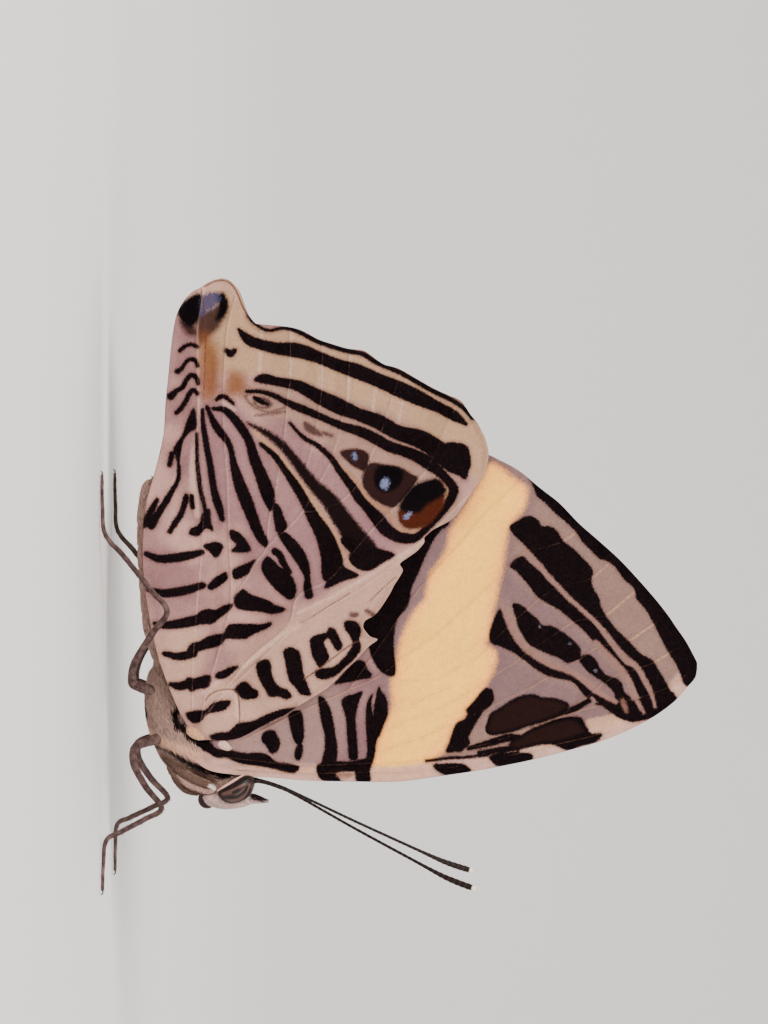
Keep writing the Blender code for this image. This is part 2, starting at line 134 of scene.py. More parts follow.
# %% The body's sizes and the lie of the wings
ABDOMEN = [
    (-7.2, 3.2, 0.30, 0.30), (-6.6, 3.2, 0.75, 0.80), (-5.0, 3.35, 1.15, 1.25),
    (-2.5, 3.6, 1.35, 1.50), (0.5, 3.8, 1.42, 1.55), (3.3, 4.0, 1.30, 1.45), (5.3, 4.2, 0.95, 1.05),
]
THORAX = [
    (5.6, 4.2, 0.95, 1.05), (6.3, 4.45, 1.55, 1.80), (7.6, 4.85, 2.00, 2.40), (9.2, 5.35, 2.25, 2.70),
    (10.8, 5.85, 2.15, 2.60), (12.1, 6.35, 1.80, 2.15), (12.9, 6.75, 1.30, 1.55), (13.3, 6.95, 0.75, 0.90),
]
WING_THICKNESS, VEIN_HEIGHT, GAP, WINGS_APART = 0.5, 0.15, 0.3, 0.15
HIND_STEP = WING_THICKNESS + VEIN_HEIGHT + GAP
BODY_CLEARANCE, BEND_TOP = 0.2, 2.2
OVERLAP_LOW, OVERLAP_RISE = 8.0, 3.6
HIDDEN_EDGE = ((11.1, 8.0), (-6.0, 21.9))
HIDDEN_PAST, HIDDEN_FADE = 4.3, 3.6
TINY = 1e-12


def ease(t):
    """0 to 1 with level ends: 3t squared less 2t cubed."""
    t = np.clip(t, 0, 1)
    return t * t * (3 - 2 * t)


def between(x, stations, column):
    """A station value at x by monotone cubic, with slopes that are harmonic means of their neighbours."""
    table = np.array(stations)
    xs, ys = table[:, 0], table[:, column]
    widths = np.diff(xs)
    slopes = np.diff(ys) / widths
    product = slopes[:-1] * slopes[1:]
    middle = np.where(product > 0, 2 * product / (slopes[:-1] + slopes[1:] + TINY), 0.0)
    ends = np.concatenate([[slopes[0]], middle, [slopes[-1]]])
    x = np.clip(x, xs[0], xs[-1])
    i = np.clip(np.searchsorted(xs, x) - 1, 0, len(xs) - 2)
    w = widths[i]
    t = (x - xs[i]) / w
    return (
        ys[i] * (1 + 2 * t) * (1 - t) ** 2 + w * ends[i] * t * (1 - t) ** 2
        + ys[i + 1] * t * t * (3 - 2 * t) + w * ends[i + 1] * t * t * (t - 1)
    )


TORSO = [(-10.2, 3.2, 0.0, 1.2)] + ABDOMEN[1:-1] + THORAX[1:-1] + [(14.5, 6.95, 0.0, 1.6)]


def wing_base(x, z):
    """Distance of the innermost wing face from the mid plane, at (forward, up)."""
    width = between(x, TORSO, 2)
    height = (z - between(x, TORSO, 1)) / between(x, TORSO, 3)
    return WINGS_APART + (width + BODY_CLEARANCE) * (1 - ease(height / BEND_TOP)) * ease(width)


def slant(x, z):
    """How much longer a step sideways is than one square to the wing face: root of 1 + slopes squared."""
    step = 0.05
    ahead = (wing_base(x + step, z) - wing_base(x - step, z)) / (2 * step)
    up = (wing_base(x, z + step) - wing_base(x, z - step)) / (2 * step)
    return np.sqrt(1 + ahead**2 + up**2)


def over_forewing(x, z):
    """1 where the forewing lies under the hindwing, easing to 0 past its hidden edge and at the root."""
    start, end = np.array(HIDDEN_EDGE)
    along = (end - start) / np.linalg.norm(end - start)
    past = -(x - start[0]) * along[1] + (z - start[1]) * along[0]
    return ease((HIDDEN_PAST - past) / HIDDEN_FADE) * ease((z - OVERLAP_LOW) / OVERLAP_RISE)


print("wing root stands", round(float(wing_base(np.array([11.5]), np.array([7.5]))[0]), 2), "mm out")

# %% [markdown]
# A mark on the wing is either a stroke, a line with a width at each of its points, or a patch, a closed
# outline. For both we work out a signed distance in millimetres for every point of the wing: below
# zero inside the mark, above zero outside. Keeping the distance and not a colour means that the
# material can draw a border as crisp or as ragged as it likes. Each mark only looks at the points near
# it, which keeps hundreds of marks quick.

# %% Distances to strokes and patches
REACH = 1.0


def nearest(points, line):
    """Distance to a line of points; where its rows carry a width, half of the width is taken off."""
    a, b = line[:-1], line[1:]
    run = b[:, :2] - a[:, :2]
    square = np.maximum((run**2).sum(axis=1), TINY)
    best = np.full(len(points), np.inf)
    for i in range(len(a)):
        t = np.clip(((points - a[i, :2]) @ run[i]) / square[i], 0, 1)
        gap = np.hypot(*(points - a[i, :2] - t[:, None] * run[i]).T)
        if line.shape[1] > 2:
            gap = gap - 0.5 * (a[i, 2] + t * (b[i, 2] - a[i, 2]))
        best = np.minimum(best, gap)
    return best


def inside(points, edge):
    """Even-odd rule: a ray from a point inside crosses the closed outline an odd number of times."""
    x, z = points[:, 0], points[:, 1]
    odd = np.zeros(len(points), bool)
    for (ax, az), (bx, bz) in zip(edge, np.roll(edge, -1, axis=0)):
        crosses = (az > z) != (bz > z)
        odd ^= crosses & (x < ax + (z - az) * (bx - ax) / (bz - az + TINY))
    return odd


def near_box(points, line, reach):
    """The points within the box of a line, grown by reach."""
    low, high = line[:, :2].min(axis=0) - reach, line[:, :2].max(axis=0) + reach
    return np.flatnonzero(((points > low) & (points < high)).all(axis=1))


def stroke_field(points, strokes):
    """The least signed distance to any of the strokes."""
    field = np.full(len(points), REACH)
    for stroke in strokes:
        line = curve_through(on_wing(stroke))
        near = near_box(points, line, REACH + line[:, 2].max())
        field[near] = np.minimum(field[near], nearest(points[near], line))
    return field


def patch_field(points, patches):
    """The least signed distance to any of the patches, each a smooth closed outline."""
    field = np.full(len(points), REACH)
    for patch in patches:
        edge = curve_through(on_wing(patch)[:, :2], closed=True)
        near = near_box(points, edge, REACH)
        gap = nearest(points[near], np.vstack([edge, edge[:1]]))
        field[near] = np.minimum(field[near], np.where(inside(points[near], edge), -gap, gap))
    return field


# %% [markdown]
# Each wing is a ruled sheet between two edges that run from its root to its far tip. A point of the
# sheet is one step u along both edges and one step v from the first edge to the second, so the rim is
# exact and the grid stays even. The worn notches of the real wing are in these edges.

# %% Outlines of the wings, in picture points
FORE_FRONT = [
    (196, 757), (205, 764.5), (213, 768.5), (222, 771), (231, 772.5), (241, 773.8), (260, 776), (279, 777),
    (299, 779), (320, 780), (348, 780.5), (389, 781), (410, 779.7), (430, 777), (450.5, 774), (471, 771),
    (499, 766), (533, 759), (569.5, 749.6), (600, 741), (626.7, 730.6), (653, 717), (675, 701),
    (688, 686.5), (696, 677), (698, 668),
]
FORE_BACK = [
    (194, 743), (204, 741), (214, 739), (226, 736.5), (240, 732), (254, 722), (270, 702), (288, 672),
    (310, 634), (360, 573), (405, 518), (440, 484), (470, 460), (482, 454), (490, 454.7), (499, 459),
    (519.6, 470), (541.6, 488), (560.7, 503), (580, 523), (600, 540.5), (621, 559.6), (641, 581),
    (657.5, 600), (669, 614.7), (678, 628), (687, 641), (695.6, 657), (698, 662),
]
HIND_FRONT = [
    (214, 737), (222, 738.4), (238.6, 737), (250, 732.7), (264, 725), (279, 718.6), (297, 707),
    (316, 695.4), (328, 688), (336, 681), (346, 670.4), (359, 658), (367.4, 648.6), (373, 643.6),
    (379.8, 638.2), (373, 636), (368, 631), (365, 625.4), (367.4, 619.5), (375.7, 615), (380.6, 609.6),
    (387, 600.5), (393, 590.5), (395.6, 585), (401.4, 576), (404.7, 569), (401.5, 563.5), (408, 558),
    (418, 551), (426, 542), (425.5, 538), (429, 534), (436, 528.5), (450.4, 521), (459, 513), (467.6, 501),
    (473, 492), (482.9, 479.7), (486, 472.6), (489, 461), (489.8, 451.5), (487, 440), (483.5, 432),
    (478, 422), (472, 415), (466.6, 406.6), (461, 400), (450, 395.4), (436, 389), (420, 380), (400.7, 369),
    (386.6, 365), (378, 359.6), (365.6, 351), (350, 349), (336, 345), (321, 340), (309.5, 333.7),
    (300, 329.5), (286, 326.8), (278, 329), (269, 329.5), (261.6, 326.3), (255, 321), (250, 313.6),
    (246.3, 303.4), (242.4, 293), (237, 285.5), (231, 280.4), (224.6, 279),
]
HIND_BACK = [
    (203, 738), (190, 722), (174, 688), (160, 650), (150, 600), (146, 560), (147, 525), (150, 500),
    (158, 470), (166, 435), (168, 405), (171, 375), (174, 345), (178, 320), (184, 305), (194, 293),
    (202, 288.7), (209, 284), (217, 280.4),
]
print(len(HIND_FRONT) + len(HIND_BACK), "points round the hindwing")

# %% [markdown]
# The marks themselves. The hindwing carries a fan of dark stripes that run from its root, two dark
# bands along its margin, a ringed eyespot with two smaller ones beside it, and a tan lobe with a black
# and blue tip. Every stroke is a short list of (across, down, width) and every patch a short outline,
# read one by one. Along the inner margin the stripes simply run on to the edge.

# %% Dark strokes of the hindwing
HIND_STROKES, HIND_PATCHES = {}, {}
HIND_STROKES["dark"] = [
    # along the margin: the thin edge line, and the first and second band
    [(250, 316, 1.6), (256, 323, 1.8), (270, 331, 2.2), (286, 328.5, 2.6), (300, 332, 3.4),
     (321, 342.5, 3.8), (350, 351.5, 4), (365, 354.5, 4), (378, 362.5, 4), (400, 372, 4), (420, 383, 4),
     (436, 392, 4), (450, 398.5, 4), (464, 407.5, 3.6), (474, 419, 2.6)],
    [(241, 330, 2), (250, 339.5, 9), (260, 344, 9.5), (280, 349, 11), (300, 351, 14), (320, 357.5, 11),
     (340, 365.5, 11.5), (360, 372, 14), (381, 381, 13), (400, 389, 15), (420, 398, 14), (440, 407.5, 10),
     (455, 415.5, 10), (467, 424, 3)],
    [(258, 380, 3), (266, 379, 9), (280, 382, 8), (300, 386, 10), (320, 396.5, 13), (340, 406, 15),
     (360, 414.5, 12), (380, 422, 14), (400, 433, 14), (420, 438.5, 17), (435, 447, 18), (445, 455, 20)],
    # the third band, and the ring it makes round the large eyespot
    [(249, 391.5, 2.5), (262, 392, 3), (275, 395.5, 4), (287, 401.5, 5), (300, 407.5, 7),
     (315, 413.5, 6.5), (332, 421, 6), (345, 426.5, 7), (360, 431, 9), (375, 437.5, 10), (390, 446, 10),
     (405, 451, 10), (418, 456, 11), (430, 463, 12), (440, 471, 9), (449, 480, 8), (455, 489, 9),
     (452, 499, 8), (446, 508, 7), (437, 519, 6), (428, 528, 6), (419, 536, 7), (412, 538, 9),
     (400, 536.5, 10), (388, 529, 12), (379, 518, 12), (370, 508, 9), (361, 498, 9), (354, 487, 8),
     (341, 470, 6), (334, 459, 5), (320, 446, 4), (305, 437, 3), (292, 423, 2)],
    # the small eye mark and arrow at the foot of the bands
    [(257, 398, 3), (262, 401, 4.5), (270.5, 405, 2)], [(229, 351, 4), (233, 354, 6), (237, 351, 4)],
    [(219, 399.7, 3), (226, 396.5, 4), (236, 404, 2)],
    # long stripes of the disc, from the tail side towards the costa
    [(205, 410, 2.5), (205.5, 423, 4), (207.5, 436, 5), (209.5, 449, 5.5), (212, 462, 5.5), (214, 475, 6),
     (216, 488, 6), (219, 500, 7.5), (222, 509, 7), (224.5, 519, 4)],
    [(209.5, 407, 3), (214, 418, 5), (219, 427, 7), (225, 435, 6.5), (231, 443, 5), (234, 453, 4.5),
     (236, 464, 6.5), (239, 475, 9), (243, 487, 11), (248, 500, 12), (253, 513, 11), (258, 526, 10),
     (262, 535, 9), (266, 541, 8), (268, 545, 3)],
    [(216, 409, 3), (225, 409.5, 5), (233, 415, 7), (240, 423, 8), (247, 433, 8), (252, 443, 8),
     (257, 460, 10), (262, 472, 11), (267, 485, 13), (271, 497, 12), (273, 508, 5)],
    [(284, 534, 7), (292, 543, 11), (301, 555, 12), (307, 567, 9), (309.5, 577, 5), (309.5, 585, 7),
     (311, 594, 8)],
    [(263, 444, 3), (276, 455, 5), (287, 470, 6), (298, 486, 8), (308, 503, 9), (316, 518, 12),
     (326, 535, 16), (333, 555, 20), (335, 572, 22)],
    [(348, 540, 10), (360, 548, 14), (372, 550, 10)],
    [(277, 551, 6), (282, 555, 6), (285.6, 563, 6), (291, 572, 5)],
    # the thin stripe beside the fold, and the wavy lines on the strip beside the abdomen
    [(199.5, 434, 2.5), (199.5, 452, 3), (200, 465, 3), (201.4, 477, 3.5), (203, 490, 3.5),
     (206, 502, 3.5), (208, 512, 3)],
    [(188.7, 496.5, 5), (187, 504, 5), (183.6, 514, 5), (178.5, 522, 5), (173, 531, 4)],
    [(194, 496, 4), (195, 507, 4)], [(174.6, 454, 5), (172, 465, 4)],
    [(182.5, 351, 3), (187.6, 346.7, 3), (194, 345, 3), (200, 347, 3)],
    [(180, 371.6, 5), (184, 369, 3), (189, 362, 3), (193, 359.5, 3), (198, 361, 3), (200, 366, 3)],
    [(173.6, 396.5, 7), (179, 391, 4), (185, 387.5, 4), (190, 378.6, 4), (195, 375.4, 4), (199, 378.6, 4),
     (200.6, 384, 3)],
    [(179, 413, 4), (184, 408, 4), (189, 400, 4), (192.7, 392.7, 4), (196.5, 390.7, 4), (200, 394, 3)],
    # where the stripes run on towards the inner margin
    [(205, 618, 10), (186, 622, 9), (168, 624, 6), (158, 622, 3)],
    [(196, 652, 8), (182, 655, 7), (168, 652, 4)], [(195, 681, 9), (183, 684, 7), (174, 682, 3)],
    [(205, 585, 6), (186, 590, 8), (166, 592, 7), (152, 588, 4)],
    [(204, 552, 5), (186, 556, 8), (164, 558, 7), (150, 553, 4)],
    [(160, 500, 4), (154, 512, 6), (149, 524, 6)],
]

# %% [markdown]
# Where a mark is wider than a brush stroke, such as an eyespot or the dark root of a band, its rim is
# drawn instead as a closed ring of points. We made one list for each paint, because each list later
# becomes one distance field and one colour.

# %% Dark patches of the hindwing
HIND_PATCHES["dark"] = [
    [(447, 444), (461, 443.5), (468, 446.6), (471, 454), (472, 464), (469.5, 471), (466.6, 479),
     (460, 475), (450, 471), (440, 461)],
    [(276.7, 503.5), (282, 507), (285.6, 517), (289, 526), (284, 532), (279, 531), (276.7, 522),
     (275.4, 512)],
    [(351, 556), (362, 543), (380, 548), (396, 554), (384, 562), (370, 570), (357, 566)],
    [(327, 587), (345, 580), (360, 575), (350, 569), (340, 566)],
    [(196, 408.6), (190, 421), (185, 435), (180, 442), (176, 450), (179, 458), (179.7, 468.5),
     (178.5, 480), (173, 489), (167, 499), (160.6, 509), (154, 519.5), (152, 527), (157, 528),
     (160.6, 522), (165.7, 512), (172, 502), (177, 491), (182, 480), (183, 471), (182, 461), (183.6, 449),
     (186, 439), (193, 431.6), (198.4, 428), (198.4, 419)],
    [(211.6, 509), (213, 522), (215.5, 530), (208, 528), (201, 535), (195, 535), (192, 533), (194, 528),
     (199.5, 526), (203, 521), (205, 514)],
    [(206, 546), (212, 543), (219, 542), (225, 545), (224, 550), (220.6, 555), (217, 556.5), (212, 551)],
    [(232.7, 530), (240, 532), (247, 538.6), (251, 545), (252.4, 550), (245, 552), (234.6, 551),
     (236, 548), (239, 544), (236, 541), (232.7, 537)],
    [(235, 570.5), (240, 567), (250, 563), (257, 560), (254, 565), (250, 573), (242, 577.5), (236.5, 578)],
    [(228, 572), (222, 575), (217, 578), (210, 586), (213, 589), (219, 587), (226, 582), (229.5, 578)],
    [(270, 556.5), (265, 562), (264, 569), (268, 577), (274, 584.5), (280.5, 591), (288, 597),
     (293, 598.6), (297, 594.7), (298, 587), (294.5, 578), (288, 570.5), (282, 567), (277, 562)],
    [(237, 597), (241, 592), (246, 589), (251, 593.5), (260, 597), (269, 600), (278, 605), (287, 608),
     (284, 611), (273, 613), (263, 611), (250, 610), (240, 607.5), (236.5, 602)],
    [(200, 614), (208, 609), (218, 609.6), (227, 605), (235, 604), (232, 609), (224.6, 615), (214, 623),
     (208, 623), (201.6, 623)],
    [(190, 651), (194, 643), (201.6, 641), (209, 637), (219.5, 634), (226, 633), (231, 625), (241, 623.6),
     (254, 624), (264, 624), (273, 621.7), (272, 625.5), (261.6, 630.6), (254, 634), (247.6, 638),
     (237, 638), (228, 638), (223, 644), (214, 647), (201.6, 650), (194, 655)],
    [(218, 676.5), (219.5, 672.7), (227, 669.5), (232, 667), (240.5, 665.7), (237, 669.5), (231, 675),
     (224.6, 678)],
    [(190, 676.5), (198, 677), (207, 674.6), (213, 675), (213, 680), (210.6, 685.5), (201.6, 686.7),
     (195, 689), (191, 685.5)],
    [(237, 689), (241, 684), (246, 681), (251, 683), (254, 686.7), (260, 690.6), (259.7, 695.7),
     (254, 697.6), (245, 697.6), (241, 693)],
    [(259, 664), (263, 660), (270.5, 659), (273, 665), (274, 674), (277.5, 681.6), (283, 686.7),
     (289.6, 689), (293.5, 695), (288, 697.6), (281, 695), (272, 695), (269, 690.6), (264, 681.6),
     (260, 672.7)],
    [(286, 650), (292, 646.6), (297, 648), (301, 651), (303.7, 661), (305, 671), (308, 680), (311, 688),
     (312.6, 693), (309, 694), (302, 692), (298.6, 686.7), (292, 680), (289.6, 671), (287.7, 660)],
    [(313, 638), (320, 634), (328, 632), (332, 627), (337, 629), (341, 637), (344, 644.5), (341, 649.6),
     (337, 647), (332, 638), (329, 637), (325.5, 642), (328.7, 649.6), (330.6, 657), (325.5, 663.7),
     (321, 665.6), (315, 654.7), (313, 644.5)],
    [(347, 621), (353.6, 620), (360, 623), (362.5, 630.5), (360.6, 638), (362.5, 644.5), (361, 651),
     (355, 658.6), (347, 666), (339.5, 672.6), (330.6, 677), (323, 677.7), (318, 675), (318, 670),
     (325.5, 667.5), (335.7, 666), (344.6, 658.6), (352, 649.6), (355, 642), (351, 633), (347, 627)],
    [(213, 734), (222, 730.7), (232, 730), (240, 722.4), (249, 721), (258, 719), (273, 712), (286, 708),
     (298.6, 706.5), (296, 709.7), (279, 717), (264, 725), (250, 732.7), (238.6, 737), (222, 738.4)],
    [(190, 711), (201.6, 708), (209, 708), (217, 701), (232, 699.5), (231, 704.6), (224.6, 709),
     (210.6, 711), (205.5, 717), (200, 720.5), (194, 718.6)],
]
# The blackest places: pupils of the eyespots, and the tip of the tail lobe
HIND_PATCHES["black"] = [
    [(427.6, 481), (438.6, 479), (445, 487), (447, 491), (438, 498), (427.6, 504), (421, 510.6),
     (415, 512), (408, 510.6), (402, 508), (403, 502), (410, 491.5), (417, 485)],
    [(377, 475), (381, 467), (391, 466), (402, 470), (403.5, 478), (396.5, 488), (385, 491), (378, 485)],
    [(200, 295), (204, 298), (203.5, 311), (200, 321), (195, 326), (190, 326), (184, 320), (180.6, 313),
     (184, 306), (191, 299.5)],
    [(219, 297), (226, 294), (228.4, 301), (229, 308), (222, 304)],
    [(222, 300), (229, 299), (230, 308), (226, 316), (219, 320), (222, 311)],
]
HIND_PATCHES["rust"] = [
    [(438, 481), (443.5, 481), (446.5, 488), (446, 503), (441.6, 510.6), (435, 519.5), (427.6, 526),
     (417, 529), (407, 528), (401, 522), (399.5, 516), (401, 509), (415, 505), (430, 499)],
]
HIND_PATCHES["brown"] = [
    [(371, 463.5), (391, 465.6), (401, 467), (415, 475), (419, 480), (402, 502), (392, 507), (378, 500.6),
     (371, 495), (364, 481)],
    [(342, 452), (353, 449), (364, 450), (371, 456), (367, 470), (358.6, 468), (349, 461)],
]
HIND_PATCHES["spots"] = [
    [(383, 484), (385, 479), (389, 478), (391, 484), (388, 489), (384, 488)],
    [(354.5, 455), (356.5, 453), (358.5, 456), (357, 460), (355, 459)],
    [(406, 517), (408.5, 513.5), (412.5, 512), (413.5, 513.5), (410.5, 516.5), (407.5, 519)],
]
HIND_PATCHES["blue"] = [
    [(204, 298), (209, 294), (215, 292.5), (221, 293), (223, 301), (218, 307), (210, 312), (203, 317)],
]
print(len(HIND_STROKES["dark"]) + len(HIND_PATCHES["dark"]), "dark marks on the hindwing")

# %% [markdown]
# Between the dark marks the ground goes from beige at the root through mauve on the disc to tan along
# the margin, with an orange stain near the lobe, shadows beside the stripes, and faint veins and folds:
# pale lines of painted highlight along their ridges, and dark lines of painted shade in the folds.
# A painted image could carry them, but as soft strokes and patches they stay numbers like the rest.

# %% Softer tones of the hindwing
HIND_PATCHES["dusk"] = [
    [(202, 316), (210, 312), (220, 307), (229, 307), (227, 317), (221, 327), (213, 335), (203, 343),
     (200, 330)],
    [(183, 322), (196, 327), (199, 335), (190, 334)],
]
HIND_PATCHES["orange"] = [
    [(203, 336), (211, 336), (219, 348), (223, 366), (222, 386), (217, 398), (207, 401), (203, 392),
     (201.5, 365)],
    [(232, 372), (243, 373), (250, 381), (248, 392), (238, 397), (229, 396), (227, 385)],
]
HIND_STROKES["rings"] = [
    [(448, 485, 4), (449, 495, 4), (445, 505, 4), (439, 517, 4), (431, 526, 5), (422, 531, 5),
     (413.5, 532, 5), (404.6, 530, 5), (398, 525, 5), (394, 518, 5), (389, 511, 5), (379, 505, 5),
     (371, 500, 5), (365, 491, 5), (360, 483, 5), (353, 474, 4), (343, 466, 3), (336, 456, 2)],
]
HIND_PATCHES["tan"] = [
    [(222, 292), (240, 300), (250, 315), (269, 329), (300, 329), (350, 349), (400, 369), (450, 395),
     (474, 415), (489, 445), (488, 470), (478, 487), (470, 470), (440, 444), (400, 425), (360, 408),
     (320, 390), (290, 380), (262, 374), (235, 376), (222, 372), (203, 368), (203, 340), (214, 328)],
]
# Painted shade: dark lines along the creases of the wing
HIND_STROKES["fold"] = [
    [(304, 622, 1.2), (320, 612, 1.2), (336, 602, 1.2), (352, 592, 1.2)],
    [(306, 678, 1.5), (321, 668, 1.5), (335, 657, 1.5), (354, 643, 1.5), (362, 640, 1)],
    [(372, 600, 1), (380, 592, 1.5), (388, 584, 1), (398, 576, 1)],
    [(209, 698, 1.5), (213, 693, 1.5), (222, 689, 1.5), (234, 688.5, 1.5), (240, 693, 1.5),
     (242, 708, 1.5), (242, 722, 1.2)],
    [(204, 290, 1), (208, 330, 1), (206, 400, 1)],
    [(207, 287.5, 1.5), (214, 283.5, 1.5), (223, 281, 1.6), (232, 283.5, 1.6), (239, 292.5, 1.8),
     (245, 307, 2), (251, 318, 2)],
]
HIND_STROKES["brownish"] = [
    [(250, 423, 3), (268, 433, 7), (283, 444, 9), (292, 454, 10), (302, 467, 11), (315, 484, 13),
     (331, 500, 17), (344, 519, 20), (355, 534, 22), (367, 547, 22)],
]
HIND_STROKES["olive"] = [
    [(256, 430, 5), (276, 452, 9), (290, 470, 10), (302, 484, 10), (314, 502, 10), (326, 519, 8),
     (338.5, 537, 6), (344, 551, 5), (353, 565, 5)],
]
HIND_STROKES["smudge"] = [
    [(247, 397, 2), (254, 392, 2), (266, 391, 2), (279, 396, 2), (288, 404, 2), (282, 410, 2),
     (268, 412, 2), (255, 406, 2), (247, 397, 2)],
    [(258, 415.6, 2), (273, 413.7, 2), (287, 412, 2)],
    [(257, 402, 3), (263, 399, 4), (270, 401, 4), (273, 405, 3), (265, 408, 3), (258, 405, 3),
     (257, 402, 3)],
    [(307, 424, 5), (311, 428, 9), (317, 432, 8), (323, 435, 5)], [(326, 433, 4), (334, 436, 4)],
    [(354, 614, 6), (358, 614, 6)], [(369, 610, 5), (378, 616, 5)],
]
HIND_PATCHES["mauve"] = [
    [(206, 405), (240, 405), (262, 432), (300, 470), (340, 540), (330, 590), (290, 600), (262, 556),
     (240, 520), (215, 520), (205, 470)],
    [(284, 430), (330, 462), (360, 500), (395, 545), (365, 540), (330, 500), (300, 460), (280, 440)],
]
HIND_PATCHES["taupe"] = [
    [(246, 386), (290, 384), (340, 396), (390, 412), (430, 438), (456, 468), (464, 498), (452, 520),
     (430, 534), (408, 530), (390, 512), (370, 488), (352, 468), (330, 446), (300, 424), (268, 414),
     (246, 406)],
]
HIND_PATCHES["beige"] = [
    [(205, 705), (214, 684), (250, 650), (300, 610), (345, 582), (392, 556), (440, 530), (470, 500),
     (484, 482), (492, 440), (480, 500), (440, 540), (408, 572), (398, 596), (372, 622), (380, 642),
     (340, 690), (262, 722), (240, 740), (210, 740), (180, 700), (160, 640), (190, 620), (212, 640),
     (200, 680)],
    [(196, 296), (210, 280), (235, 277), (247, 296), (252, 318), (242, 334), (214, 334), (198, 326)],
]
# Painted highlight: pale lines, mostly along the ridges of the veins and folds
HIND_STROKES["pale"] = [
    [(207, 287, 2), (203.5, 308, 2), (200.5, 335, 2), (200, 362, 2), (201, 400, 2), (203, 425, 2)],
    [(199, 435, 3), (196, 460, 7), (196, 490, 7), (200, 515, 5)],
    [(184, 440, 2), (180, 470, 3), (170, 500, 3)], [(226, 403, 4), (236, 410, 4)],
    [(264, 330, 1.6), (262, 372, 2)], [(294, 332, 1.4), (291, 378, 1.4)], [(325, 345, 2), (321, 392, 2.2)],
    [(353, 353, 1.4), (349, 402, 1.6)], [(380, 366, 1.8), (374, 416, 2.2)],
    [(408, 378, 1.2), (400, 428, 1.4)],
    [(207, 690, 3), (222, 680, 4), (244, 666, 4), (275, 642, 4), (300, 624, 4)],
    [(222, 690, 2), (236, 691, 2), (239, 700, 2), (240, 716, 2)],
    [(300, 612, 2), (345, 590, 2), (400, 556, 2), (430, 536, 2)],
]
HIND_VEINS = [
    [(238, 299), (231, 324), (228, 350), (226, 388), (226, 415), (228, 452), (230, 477), (231, 515),
     (232, 548), (234, 586), (232, 610), (222, 646), (217, 666), (210, 687), (204, 720)],
    [(292.6, 330), (292.6, 360), (292.6, 379), (290, 397), (288, 426), (283, 458), (277, 497), (271, 522),
     (269, 548), (260, 560), (249, 578), (233, 603)],
    [(352, 349), (349, 403), (344, 419), (341, 434), (337, 449), (332, 464), (318, 488), (304.5, 512),
     (288, 530), (281, 535), (269, 548)],
    [(460, 400), (442, 440), (428, 470), (419, 480), (402, 502), (383, 520), (371, 533), (351, 556),
     (330, 580), (300, 596), (290, 625), (250, 660), (212, 710)],
    [(402, 372), (388, 418), (371, 461), (364, 478), (345, 500), (320, 510), (304.5, 512)],
    [(205, 715), (240, 680), (300, 625), (330, 607), (360, 590), (395, 565), (425, 540), (450, 515),
     (485, 480)],
    [(206, 287), (203.5, 308), (200, 329), (200, 362), (201, 400), (200, 430), (201, 477), (205, 500),
     (205, 545), (200, 600), (196, 660), (196, 705)],
    [(325, 345), (323, 398), (316, 440), (308, 470)],
]
print(len(set(HIND_PATCHES) | set(HIND_STROKES)), "kinds of mark on the hindwing")

# %% [markdown]
# The forewing has short dark bars near its root, one wide cream band, and beyond it dark bands and
# ovals on a grey-brown tip. Its front edge is pink, with dark patches where the bars reach it. The
# bars stop at the veins, as they do on the real wing, because each cell between two veins has its own
# piece of the pattern.

